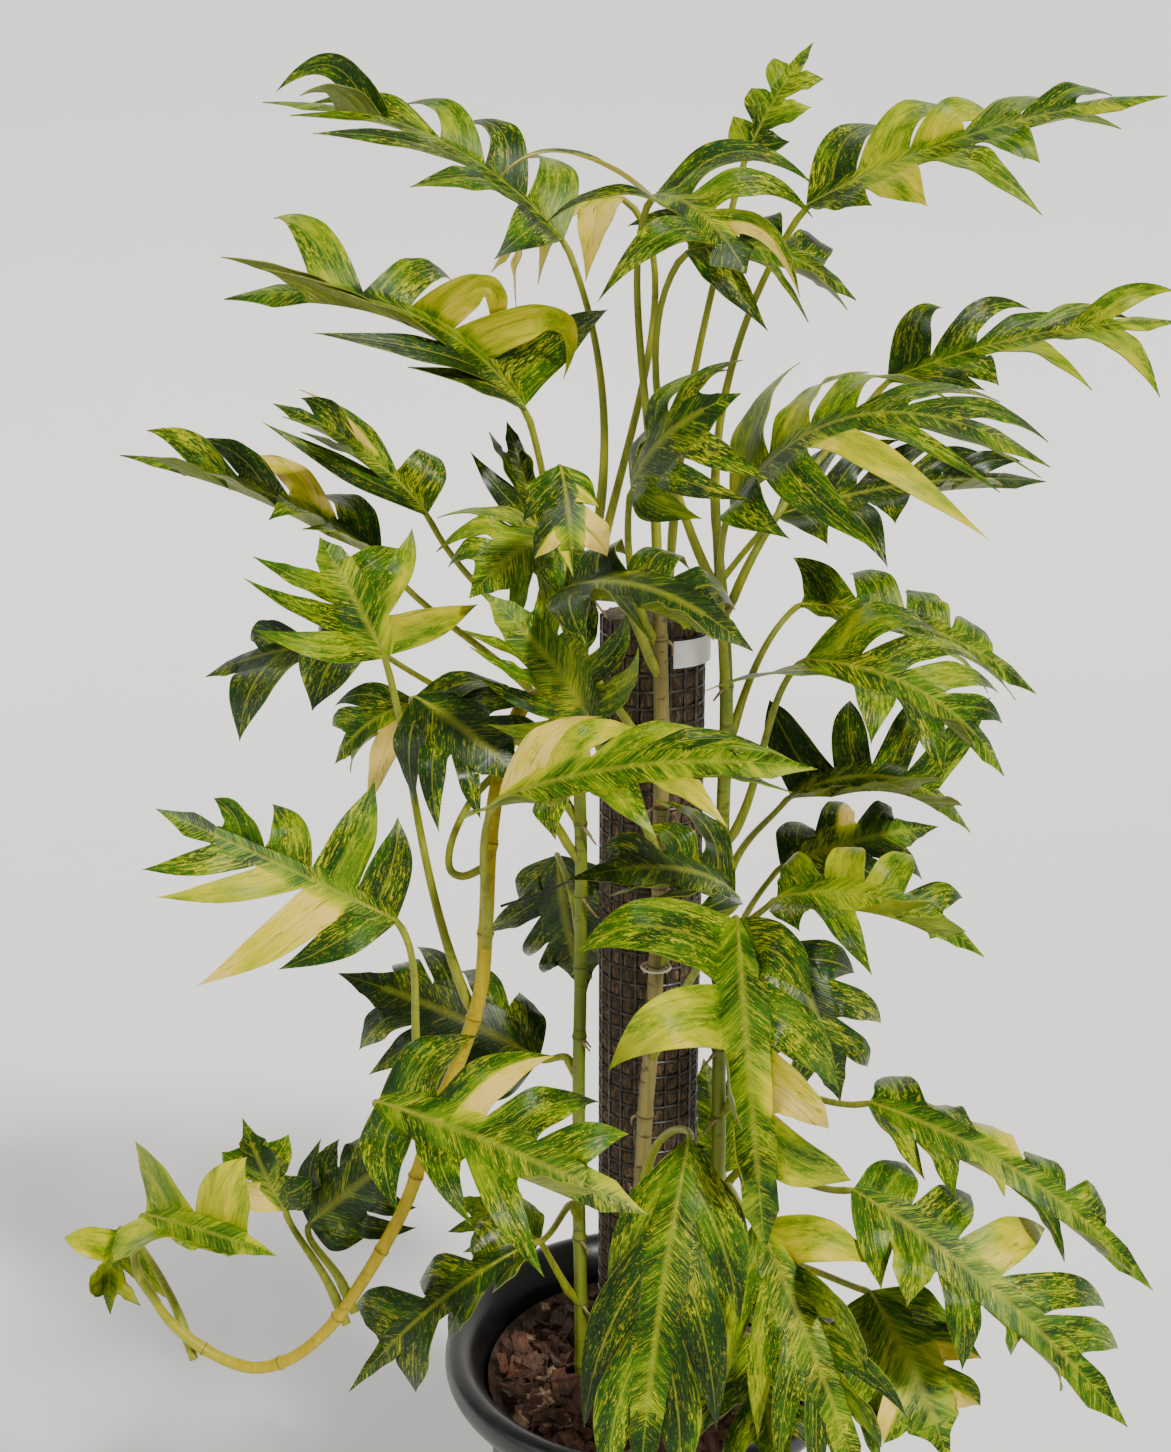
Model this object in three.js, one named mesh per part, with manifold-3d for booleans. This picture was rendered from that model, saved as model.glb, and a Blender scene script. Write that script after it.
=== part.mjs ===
// Golden flame pothos climbing a net-covered moss pole, in a round nursery pot.
// Millimetres, +Z up. The origin is the centre of the pot's flat underside, the pole stands on the Z axis
// and the plant's front looks towards -Y.
import * as THREE from "three";
import { mergeVertices } from "three/addons/utils/BufferGeometryUtils.js";
import Module from "manifold-3d";

const wasm = await Module();
wasm.setup();

// Pot
const POT_HEIGHT = 270;
const POT_BASE_RADIUS = 98;
const POT_WALL_TOP = 238;
const POT_WALL_TOP_RADIUS = 122;
const POT_LIP_RADIUS = 150;
const POT_LIP_DEPTH = 24;
const POT_MOUTH_RADIUS = 133;
const POT_WALL = 3;
const POT_FACETS = 36;
const POT_ROUGHNESS = 0.38;
const POT_FOOT_BEVEL = [3, 4];
const LIP_SHOULDER = 6;
const LIP_ROLL = [2, 8];
const LIP_CREST = [2, 4, 9];
const MOUTH_DROP = 5;
const INNER_STEP = 2;

// Potting mix and its bark chips
const MIX_TOP = 243;
const FIT_GAP = 0.4;
const DRUM_FACETS = 16;
const CHIP_COUNT = 26;
const CHIP_FIELD_RADIUS = 98;
const CHIP_FIELD_INNER = 52;
const CHIP_LENGTH = [14, 30];
const CHIP_WIDTH = [8, 15];
const CHIP_HEIGHT = [5, 9];
const CHIP_TILT = 0.45;
const CHIP_SINK = 1.2;
const CHIP_SEED = 11;
const MIX_SHOULDER = 2;
const MIX_FOOT_BEVEL = 1;
const MIX_ROUGHNESS = 0.95;
const GOLDEN_ANGLE = 2.39996;

// Pole with a square net whose cells bulge
const POLE_RADIUS = 34.5;
const POLE_BULGE = 2.2;
const POLE_FOOT = 60;
const POLE_TOP = 820;
const POLE_COLUMNS = 12;
const POLE_ROWS = 26;
const POLE_ROUGHNESS = 0.9;

// Plain label strip round the upper pole
const LABEL_RADIUS = 38;
const LABEL_THICKNESS = 0.8;
const LABEL_HEIGHT = 18;
const LABEL_BOTTOM = 790;
const LABEL_FROM = -1.25;
const LABEL_SWEEP = 1.15;
const LABEL_FACETS = 6;
const LABEL_ROUGHNESS = 0.55;

// Ties
const TIE_RADIUS = 0.9;
const TIE_PATH = [[-97, -128, 661], [-66, -84, 656], [-28, -42, 662]];
const TIE_STEPS = 8;
const TIE_ARC_STEPS = 3;
const TIE_LOOP_RADIUS = 9.6;
const TIE_LOOP_CENTRE = [2.4, -51.8, 588];
const TIE_LOOP_FACETS = [5, 14];
const TIE_ROUGHNESS = 0.65;

// Stems
const STEM_SIDES = 6;
const NODE_SPACING = 54;
const NODE_SWELL = 1.16;
const NODE_HALF_LENGTH = 5;
const STEM_END = 0.64;
const HOLE_CLEARANCE = 0.8;
const STEM_FOOT = 200;
const STEM_ROUGHNESS = 0.6;

// Leaves
const BLADE_THICKNESS = 0.9;
const RIDGE_HEIGHT = 0.4;
const KEEL_DEPTH = 1.2;
const WEB_FALL = 0.45;
const BLADE_START = 0.03;
const BLADE_END = 0.78;
const TERMINAL_AT = 0.86;
const LOBE_ANGLE = 64;
const LOBE_ANGLE_FALL = 26;
const LOBE_ANGLE_SPREAD = 22;
const LOBE_TWIST_SPREAD = 70;
const DROOP_RANGE = [0.5, 1.5];
const LENGTH_RANGE = [0.74, 1.2];
const OUTLINE_START = 0.32;
const OUTLINE_RUN = 0.5;
const LEAST_LOBE_SHARE = 0.6;
const TERMINAL_SHARE = 0.15;
const BOW_BASE = 0.06;
const BOW_GAIN = 0.22;
const BEND_AT = 0.45;
const SPREAD = 0.1;
const STRAP_WIDTH = 0.92;
const STRAP_FULL = 0.2;
const STRAP_POINT = 1.35;
const STRAP_BELLY = 1.5;
const CURLED_BOW = 13;
const CURLED_STATIONS = [0.22, 0.46, 0.74];
const PLAIN_STATIONS = [0.34, 0.72];
const PETIOLE_STEPS = 4;
const PETIOLE_FOOT_RADIUS = 3.2;
const PETIOLE_END_RADIUS = 2.1;
const PETIOLE_GAP = 0.6;
const HEEL = 5;
const PETIOLE_LEAN = 0.45;
const PETIOLE_CLIMB = 0.9;
const PETIOLE_LEAVE = 0.38;
const PETIOLE_ARRIVE = 0.2;
const PETIOLE_RISE = 0.16;
const PETIOLE_CORNERS = [150, 90, 30, -30, -90, -150];
const CLEARANCE = 0.2;
const SWING_STEPS = [0, 3, -3, 6, -6, 9, -9, 12, -12, 16, -16, 20, -20, 25, -25, 30, -30];
const LIFT_STEPS = [0, 3, -3, 6, -6, 9, -9, 13, -13];
const LIFT_COST = 1.4;
const LEAF_ROUGHNESS = 0.42;
const WELD_SPACING = 1e-3;
const SLOPE_STEP = 1e-3;
const DEGREE = Math.PI / 180;

const UP = new THREE.Vector3(0, 0, 1);
const vec = (x, y, z) => new THREE.Vector3(x, y, z);

// A repeatable stream of numbers between 0 and 1, from a multiplicative generator.
const DRAW_MODULUS = 2147483647;
const DRAW_FACTOR = 16807;
const SEED_STRIDE = 7919;
const SEED_START = 104729;

function seededDraw(seed) {
  let state = (seed * SEED_STRIDE + SEED_START) % DRAW_MODULUS;
  return () => {
    state = (state * DRAW_FACTOR) % DRAW_MODULUS;
    return state / DRAW_MODULUS;
  };
}

function between(range, amount) {
  return range[0] + (range[1] - range[0]) * amount;
}

// Solids, joined or cut
function solidOf(geometry) {
  const bare = geometry.clone();
  bare.deleteAttribute("normal");
  bare.deleteAttribute("uv");
  const merged = mergeVertices(bare, WELD_SPACING);
  const vertProperties = new Float32Array(merged.attributes.position.array);
  const triVerts = new Uint32Array(merged.index.array);
  return new wasm.Manifold(new wasm.Mesh({ numProp: 3, vertProperties, triVerts }));
}

function geometryOf(solid) {
  const mesh = solid.getMesh();
  const geometry = new THREE.BufferGeometry();
  geometry.setAttribute("position", new THREE.BufferAttribute(mesh.vertProperties, 3));
  geometry.setIndex(new THREE.BufferAttribute(mesh.triVerts, 1));
  return geometry;
}

function geometryFrom(points, triangles) {
  const geometry = new THREE.BufferGeometry().setFromPoints(points);
  geometry.setIndex(triangles.flat());
  return geometry;
}

// Colours
const POT_BLACK = 0x17181a;
const POLE_BROWN = 0x2b211a;
const LABEL_WHITE = 0xe9e7e0;
const BARK_BROWN = 0x5a3423;
const TIE_DARK = 0x2c2c2a;
const TIE_PALE = 0xd8d2a8;
const STEM_TAN = 0xb8905a;
const STEM_GREEN = 0x7d8c3a;
const STEM_LIGHT = 0x8a9a3e;
const STEM_GOLDEN = 0xc9a838;
const GREEN = 0x3f6a1e;
const DEEP = 0x274a18;
const LIME = 0xa3b038;
const CREAM = 0xd9c284;
const OLIVE = 0x8a8a34;

// Parts of the object, each one mesh
const group = new THREE.Group();
group.name = "potted_golden_flame_pothos";
const placed = [];

function addPart(name, geometry, color, roughness) {
  const shaded = geometry.clone();
  shaded.computeVertexNormals();
  const material = new THREE.MeshStandardMaterial({ color, roughness, metalness: 0 });
  const mesh = new THREE.Mesh(shaded, material);
  mesh.name = name;
  group.add(mesh);
  placed.push({ name, solid: solidOf(geometry) });
}

function isClear(solid) {
  const a = solid.boundingBox();
  return placed.every((other) => {
    const b = other.solid.boundingBox();
    const apart = [0, 1, 2].some((k) => a.max[k] < b.min[k] || b.max[k] < a.min[k]);
    if (apart) return true;
    const common = solid.intersect(other.solid);
    const touches = common.volume() > 0;
    common.delete();
    return !touches;
  });
}

// The pot: a tapered wall under a broad rounded lip
function wallRadius(z) {
  return POT_BASE_RADIUS + ((POT_WALL_TOP_RADIUS - POT_BASE_RADIUS) * z) / POT_WALL_TOP;
}

function turned(profile, facets) {
  const points = profile.map(([r, z]) => new THREE.Vector2(r, z));
  return new THREE.LatheGeometry(points, facets).rotateX(Math.PI / 2);
}

const lipFoot = POT_HEIGHT - POT_LIP_DEPTH;
const potProfile = [
  [0, 0],
  [POT_BASE_RADIUS - POT_FOOT_BEVEL[0], 0],
  [POT_BASE_RADIUS, POT_FOOT_BEVEL[1]],
  [POT_WALL_TOP_RADIUS, POT_WALL_TOP],
  [POT_LIP_RADIUS - LIP_SHOULDER, lipFoot - LIP_ROLL[0]],
  [POT_LIP_RADIUS, lipFoot + LIP_ROLL[1]],
  [POT_LIP_RADIUS - LIP_CREST[0], POT_HEIGHT - LIP_CREST[1]],
  [POT_LIP_RADIUS - LIP_CREST[2], POT_HEIGHT],
  [POT_MOUTH_RADIUS, POT_HEIGHT - MOUTH_DROP],
  [wallRadius(POT_WALL_TOP) - POT_WALL, POT_WALL_TOP + INNER_STEP],
  [wallRadius(POT_WALL * 2) - POT_WALL, POT_WALL * 2],
  [0, POT_WALL * 2],
];
addPart("pot", turned(potProfile, POT_FACETS), POT_BLACK, POT_ROUGHNESS);

// Stems: swollen rings at the nodes, one tapered tube each
const stems = {
  front: {
    radius: 6,
    fall: 0.15,
    color: STEM_TAN,
    points: [
      [-2, -52, STEM_FOOT], [-2, -52, 262], [-6, -51, 420], [3, -52, 600], [4, -53, 760], [0, -50, 868],
    ],
  },
  right: {
    radius: 5.6,
    fall: 0.2,
    color: STEM_LIGHT,
    points: [
      [48, -20, STEM_FOOT], [48, -20, 262], [50, -17, 430], [47, -22, 620], [48, -18, 780], [40, -14, 878],
    ],
  },
  left: {
    radius: 5.2,
    fall: 0.2,
    color: STEM_GREEN,
    points: [
      [-48, -12, STEM_FOOT], [-48, -12, 262], [-50, -10, 430], [-48, -8, 620], [-48, -12, 780],
      [-36, -12, 886],
    ],
  },
  rear: {
    radius: 5.2,
    fall: 0.2,
    color: STEM_GREEN,
    points: [
      [10, 51, STEM_FOOT], [10, 51, 262], [6, 52, 430], [12, 51, 620], [10, 52, 780], [14, 42, 860],
    ],
  },
  arching: {
    bent: true,
    radius: 5.4,
    fall: 0.3,
    color: STEM_GOLDEN,
    points: [
      [-46, -34, 742], [-62, -52, 772], [-82, -74, 778], [-97, -104, 742], [-104, -124, 700],
      [-106, -134, 655], [-110, -138, 610], [-121, -142, 572], [-140, -146, 525], [-160, -150, 466],
      [-185, -154, 420], [-215, -154, 376], [-240, -150, 354], [-264, -146, 346], [-292, -140, 353],
      [-318, -136, 374], [-332, -133, 396],
    ],
  },
};

function stemRadius(stem, at) {
  return stem.radius * (1 - stem.fall * at);
}

function stemCurve(stem) {
  return new THREE.CatmullRomCurve3(stem.points.map((p) => vec(...p)), false, "centripetal");
}

// A closed tube with its own radius at every ring.
function ringTube(centres, radii, sides) {
  const points = [];
  const triangles = [];
  const last = centres.length - 1;
  let side = vec(1, 0, 0);
  centres.forEach((centre, k) => {
    const ahead = centres[Math.min(k + 1, last)].clone().sub(centres[Math.max(k - 1, 0)]).normalize();
    side.sub(ahead.clone().multiplyScalar(side.dot(ahead))).normalize();
    const other = ahead.clone().cross(side);
    for (let q = 0; q < sides; q++) {
      const angle = (q * 2 * Math.PI) / sides;
      const reach = side.clone().multiplyScalar(Math.cos(angle) * radii[k]);
      reach.add(other.clone().multiplyScalar(Math.sin(angle) * radii[k]));
      points.push(centre.clone().add(reach));
    }
  });
  for (let k = 0; k < last; k++) {
    for (let q = 0; q < sides; q++) {
      const a = k * sides + q;
      const b = k * sides + ((q + 1) % sides);
      triangles.push([a, b, a + sides], [b, b + sides, a + sides]);
    }
  }
  for (let q = 1; q < sides - 1; q++) {
    triangles.push([0, q + 1, q]);
    triangles.push([last * sides, last * sides + q, last * sides + q + 1]);
  }
  return geometryFrom(points, triangles);
}

function stemGeometry(stem) {
  const curve = stemCurve(stem);
  const length = curve.getLength();
  const nodes = Math.round(length / NODE_SPACING);
  const stations = [0];
  const swells = [1];
  for (let k = 1; k < nodes; k++) {
    const at = k / nodes;
    const half = NODE_HALF_LENGTH / length;
    if (stem.bent) {
      stations.push(at - 0.5 / nodes);
      swells.push(1);
    }
    stations.push(at - half, at);
    swells.push(1, NODE_SWELL);
  }
  stations.push(1);
  swells.push(STEM_END);
  const centres = stations.map((at) => curve.getPointAt(at));
  const radii = swells.map((swell, k) => swell * stemRadius(stem, stations[k]));
  return ringTube(centres, radii, STEM_SIDES);
}

for (const [key, stem] of Object.entries(stems)) {
  addPart("stem_" + key, stemGeometry(stem), stem.color, STEM_ROUGHNESS);
}

// The pole: flat net strands with a raised pillow in every cell
function poleGeometry() {
  const points = [];
  const triangles = [];
  const rows = POLE_ROWS;
  const columns = POLE_COLUMNS;
  const rise = (POLE_TOP - POLE_FOOT) / rows;
  const ringPoint = (column, row, radius) => {
    const angle = (column * 2 * Math.PI) / columns;
    return vec(Math.cos(angle) * radius, Math.sin(angle) * radius, POLE_FOOT + row * rise);
  };
  for (let row = 0; row <= rows; row++) {
    for (let column = 0; column < columns; column++) points.push(ringPoint(column, row, POLE_RADIUS));
  }
  for (let row = 0; row < rows; row++) {
    for (let column = 0; column < columns; column++) {
      const next = (column + 1) % columns;
      const corners = [row * columns + column, row * columns + next];
      corners.push((row + 1) * columns + next, (row + 1) * columns + column);
      const centre = points.length;
      points.push(ringPoint(column + 0.5, row + 0.5, POLE_RADIUS + POLE_BULGE));
      corners.forEach((corner, k) => triangles.push([corner, corners[(k + 1) % 4], centre]));
    }
  }
  const top = rows * columns;
  for (let column = 1; column < columns - 1; column++) {
    triangles.push([0, column + 1, column]);
    triangles.push([top, top + column, top + column + 1]);
  }
  return geometryFrom(points, triangles);
}
addPart("moss_pole", poleGeometry(), POLE_BROWN, POLE_ROUGHNESS);

// The label: a plain bent strip
function labelGeometry() {
  const shape = new THREE.Shape();
  const to = LABEL_FROM + LABEL_SWEEP;
  shape.absarc(0, 0, LABEL_RADIUS + LABEL_THICKNESS, LABEL_FROM, to, false);
  shape.absarc(0, 0, LABEL_RADIUS, to, LABEL_FROM, true);
  shape.closePath();
  const options = { depth: LABEL_HEIGHT, bevelEnabled: false, curveSegments: LABEL_FACETS };
  return new THREE.ExtrudeGeometry(shape, options).translate(0, 0, LABEL_BOTTOM);
}
addPart("label", labelGeometry(), LABEL_WHITE, LABEL_ROUGHNESS);

// Potting mix filled to below the lip, with loose bark chips fused on top and plain holes for the stems
function drum(innerRadius, from, to) {
  const height = to - from;
  const radius = innerRadius / Math.cos(Math.PI / DRUM_FACETS);
  return new THREE.CylinderGeometry(radius, radius, height, DRUM_FACETS)
    .rotateX(Math.PI / 2)
    .translate(0, 0, from + height / 2);
}

function mixGeometry() {
  const inner = (z) => wallRadius(z) - POT_WALL - FIT_GAP;
  const foot = POT_WALL * 2 + FIT_GAP;
  const shelf = POT_WALL_TOP - MIX_SHOULDER;
  const brim = inner(shelf) - POT_WALL;
  const profile = [
    [0, foot],
    [inner(foot) - MIX_FOOT_BEVEL, foot],
    [inner(shelf), shelf],
    [brim, MIX_TOP],
    [0, MIX_TOP],
  ];
  let mix = solidOf(turned(profile, POT_FACETS));
  const draw = seededDraw(CHIP_SEED);
  for (let k = 0; k < CHIP_COUNT; k++) {
    const size = [between(CHIP_LENGTH, draw()), between(CHIP_WIDTH, draw()), between(CHIP_HEIGHT, draw())];
    const chip = new THREE.BoxGeometry(...size);
    chip.rotateX((draw() - 0.5) * CHIP_TILT).rotateY((draw() - 0.5) * CHIP_TILT).rotateZ(draw() * Math.PI);
    const angle = k * GOLDEN_ANGLE;
    const spread = Math.sqrt((k + 0.5) / CHIP_COUNT);
    const radius = CHIP_FIELD_INNER + (CHIP_FIELD_RADIUS - CHIP_FIELD_INNER) * spread;
    chip.translate(Math.cos(angle) * radius, Math.sin(angle) * radius, MIX_TOP + CHIP_SINK);
    mix = mix.add(solidOf(chip));
  }
  mix = mix.subtract(solidOf(drum(POLE_RADIUS + POLE_BULGE + FIT_GAP, POLE_FOOT - FIT_GAP, POT_HEIGHT)));
  for (const stem of Object.values(stems)) {
    const [x, y, z] = stem.points[0];
    if (z !== STEM_FOOT) continue;
    const hole = drum(stem.radius * NODE_SWELL + HOLE_CLEARANCE, STEM_FOOT - FIT_GAP, POT_HEIGHT);
    mix = mix.subtract(solidOf(hole.translate(x, y, 0)));
  }
  return geometryOf(mix);
}
addPart("potting_mix", mixGeometry(), BARK_BROWN, MIX_ROUGHNESS);

// Ties: one from the arching stem to the pole, one round the front stem
const tieRun = new THREE.CatmullRomCurve3(TIE_PATH.map((p) => vec(...p)));
const tieRound = new THREE.Shape().absarc(0, 0, TIE_RADIUS, 0, Math.PI * 2);
const tieOptions = {
  steps: TIE_STEPS,
  curveSegments: TIE_ARC_STEPS,
  extrudePath: tieRun,
  bevelEnabled: false,
};
addPart("tie_upper", new THREE.ExtrudeGeometry(tieRound, tieOptions), TIE_DARK, TIE_ROUGHNESS);
const tieLoop = new THREE.TorusGeometry(TIE_LOOP_RADIUS, TIE_RADIUS, ...TIE_LOOP_FACETS);
addPart("tie_lower", tieLoop.translate(...TIE_LOOP_CENTRE), TIE_PALE, TIE_ROUGHNESS);

// Leaf list. Each leaf grows from a stem at a share of its length, has the base and tip of its blade,
// the way its upper face looks, then half width, lobes a side, arch of the midrib, droop of the lobes
// (degrees), fold of the two halves (degrees), half width of the uncut band and its colour.
const leaves = [
  ["centre_hanging", "front", 0.5, [46, -150, 668], [60, -232, 484], [-0.1, -0.9, 0.42],
    70, 4, 40, 30, 6, 16, LIME],
  ["front_left_low", "arching", 0.52, [-174, -186, 560], [-10, -256, 524], [0.1, -0.72, 0.69],
    66, 4, 14, 30, 6, 16, LIME],
  ["fan_mid_left", "arching", 0.5, [-154, -160, 662], [-290, -190, 744], [0, -0.8, 0.6],
    50, 4, 4, 14, -4, 8, LIME],
  ["front_middle", "arching", 0.33, [-100, -176, 744], [84, -206, 772], [0, -0.6, 0.8],
    60, 5, 20, 34, 6, 14, LIME],
  ["right_main", "right", 0.86, [40, -66, 892], [224, -124, 930], [-0.1, -0.5, 0.86],
    70, 5, 58, 32, 6, 13, GREEN],
  ["upper_left", "left", 0.87, [-78, -62, 954], [-252, -110, 1024], [0.15, -0.5, 0.85],
    80, 5, 36, 30, 6, 13, GREEN],
  ["top_right", "right", 1, [86, -12, 1076], [300, -42, 1140], [0, -0.5, 0.86],
    60, 5, 14, 34, 6, 12, LIME],
  ["top_left", "left", 1, [-54, 6, 1054], [-248, 20, 1142], [0.1, -0.28, 0.95],
    70, 5, 26, 20, 8, 11, GREEN],
  ["top_centre", "front", 1, [-6, -34, 1084], [48, -96, 1038], [0, -0.6, 0.8],
    110, 3, 16, 22, -3, 12, GREEN],
  ["right_upper", "right", 0.93, [154, 60, 966], [362, 80, 1006], [0, -0.5, 0.86],
    60, 5, 14, 30, 6, 9, GREEN],
  ["lower_right_upper", "right", 0.4, [132, -112, 522], [312, -172, 420], [0.2, -0.6, 0.77],
    60, 5, 30, 22, 2, 14, LIME],
  ["lower_right_lower", "right", 0.3, [112, -168, 504], [280, -240, 386], [0.2, -0.62, 0.76],
    76, 5, 22, 22, 2, 15, LIME],
  ["bottom_centre_right", "right", 0.28, [66, -184, 482], [128, -262, 352], [0.1, -0.86, 0.5],
    56, 4, 24, 28, 6, 13, OLIVE],
  ["bottom_centre", "front", 0.36, [32, -194, 546], [10, -292, 370], [-0.1, -0.9, 0.42],
    56, 3, 26, 26, 8, 15, OLIVE],
  ["right_second", "right", 0.8, [98, 44, 818], [270, 40, 754], [0, -0.55, 0.83],
    60, 4, 22, 22, 4, 14, GREEN],
  ["right_third", "right", 0.7, [90, -50, 800], [224, -66, 726], [0, -0.55, 0.83],
    60, 4, 30, 28, 6, 15, GREEN],
  ["right_low", "right", 0.58, [76, -62, 640], [210, -102, 616], [0, -0.5, 0.86],
    50, 4, 30, 34, 6, 15, LIME],
  ["far_left", "left", 0.78, [-174, -10, 856], [-348, 0, 924], [0.1, -0.4, 0.9],
    40, 4, 15, 26, 8, 11, GREEN],
  ["mid_left_yellow", "arching", 0.4, [-166, -102, 810], [-206, -90, 884], [0, -0.8, 0.6],
    60, 3, 8, 18, 0, 16, LIME],
  ["over_rim_left", "left", 0.27, [-76, -96, 410], [-200, -150, 330], [-0.3, -0.6, 0.75],
    34, 3, 20, 22, 12, 13, DEEP],
  ["young_end_left", "arching", 1, [-334, -128, 448], [-234, -190, 456], [-0.1, -0.66, 0.75],
    30, 2, 8, 20, 4, 11, LIME],
  ["centre_dark", "front", 0.8, [-60, -102, 854], [48, -192, 836], [0, -0.5, 0.86],
    60, 3, 22, 34, 8, 20, DEEP],
  ["centre_left_yellow", "front", 0.72, [-34, -102, 774], [-92, -120, 870], [-0.1, -0.62, 0.78],
    60, 4, 16, 26, 6, 18, OLIVE],
  ["left_mid_high", "left", 0.82, [-148, 20, 880], [-254, 40, 954], [0.25, -0.55, 0.8],
    44, 3, 14, 26, 10, 8, GREEN],
  ["top_upright", "rear", 1, [56, 40, 1106], [102, 60, 1182], [-0.35, -0.9, 0.2],
    24, 3, 8, 16, -4, 7, LIME],
  ["upper_centre_grey", "front", 0.93, [-14, -62, 908], [52, -104, 970], [0, -0.62, 0.78],
    60, 3, 14, 26, 10, 24, GREEN],
  ["right_behind", "rear", 0.88, [80, 60, 874], [280, 90, 896], [0, -0.5, 0.86],
    60, 5, 14, 30, 6, 13, DEEP],
  ["left_dark", "left", 0.71, [-188, 40, 788], [-312, 50, 764], [-0.1, -0.5, 0.86],
    50, 2, 12, 24, 6, 14, DEEP],
  ["left_below", "left", 0.67, [-156, -10, 762], [-214, -10, 718], [-0.2, -0.6, 0.77],
    40, 2, 12, 28, 8, 14, GREEN],
  ["middle_left_back", "left", 0.43, [-74, 10, 488], [-226, 40, 544], [0, -0.62, 0.78],
    60, 4, 12, 30, 8, 24, DEEP],
  ["centre_glossy", "front", 0.6, [54, -84, 650], [-56, -150, 686], [0, -0.6, 0.8],
    40, 3, 22, 32, 6, 17, DEEP],
  ["right_brown_edge", "right", 0.54, [94, 60, 618], [218, 90, 640], [0, -0.6, 0.8],
    46, 3, 10, 26, 8, 20, OLIVE],
  ["right_fourth", "right", 0.64, [96, 50, 674], [230, 40, 652], [0, -0.55, 0.83],
    50, 4, 44, 28, 6, 15, GREEN],
  ["below_top_right", "right", 0.96, [34, -18, 1052], [136, -44, 1014], [0, -0.5, 0.86],
    50, 3, 18, 26, 8, 14, GREEN],
  ["top_cream", "left", 0.94, [-22, 30, 1088], [-112, 50, 1040], [0, -0.5, 0.86],
    56, 3, 16, 22, 8, 9, CREAM],
  ["lower_olive", "right", 0.2, [138, -140, 402], [180, -222, 328], [0.1, -0.82, 0.56],
    38, 3, 16, 20, 6, 27, OLIVE],
  ["node_upright", "arching", 0.735, [-240, -124, 446], [-262, -138, 522], [-0.2, -0.95, 0.24],
    24, 2, 4, 14, -6, 14, GREEN],
  ["young_end_small", "arching", 0.93, [-366, -72, 404], [-368, -100, 354], [-0.3, -0.8, 0.5],
    20, 2, 6, 14, 4, 8, LIME],
  ["node_dark", "arching", 0.72, [-230, -126, 436], [-168, -116, 486], [0.1, -0.8, 0.6],
    36, 3, 8, 22, 8, 22, DEEP],
  ["behind_left", "left", 0.58, [-66, 60, 632], [-44, 70, 516], [-0.3, -0.84, 0.3],
    56, 4, 12, 20, 8, 24, DEEP],
  ["centre_cream_hang", "front", 0.9, [-60, -120, 932], [-52, -150, 870], [0.2, -0.94, 0.26],
    28, 2, 8, 18, 14, 12, GREEN],
  ["upper_left_dark", "left", 0.85, [-74, -12, 868], [-96, -2, 946], [0.2, -0.92, 0.34],
    30, 2, 6, 16, 10, 8, DEEP],
  ["upper_left_small", "left", 0.8, [-60, -62, 880], [-110, -112, 850], [0, -0.75, 0.66],
    58, 3, 14, 28, 8, 22, OLIVE],
  ["centre_left_dark", "left", 0.74, [-160, -80, 786], [-94, -128, 742], [0, -0.8, 0.6],
    56, 3, 10, 20, 8, 22, DEEP],
  ["behind_right_low", "rear", 0.2, [62, 62, 366], [46, 90, 452], [0.2, -0.92, 0.34],
    50, 3, 8, 16, 6, 18, GREEN],
  ["right_dark_hang", "right", 0.48, [84, -80, 620], [120, -112, 520], [0.25, -0.9, 0.36],
    54, 3, 10, 20, 8, 18, DEEP],
  ["bottom_small", "front", 0.2, [66, -150, 376], [82, -240, 338], [0, -0.8, 0.6],
    56, 3, 12, 22, 8, 18, GREEN],
  ["bottom_right_curl", "right", 0.14, [104, -132, 356], [166, -192, 338], [0.1, -0.75, 0.66],
    50, 3, 12, 24, 8, 18, OLIVE],
  ["rim_left_small", "left", 0.17, [-76, -24, 362], [-140, -14, 392], [0, -0.62, 0.78],
    36, 3, 10, 22, 8, 12, OLIVE],
];

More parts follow.
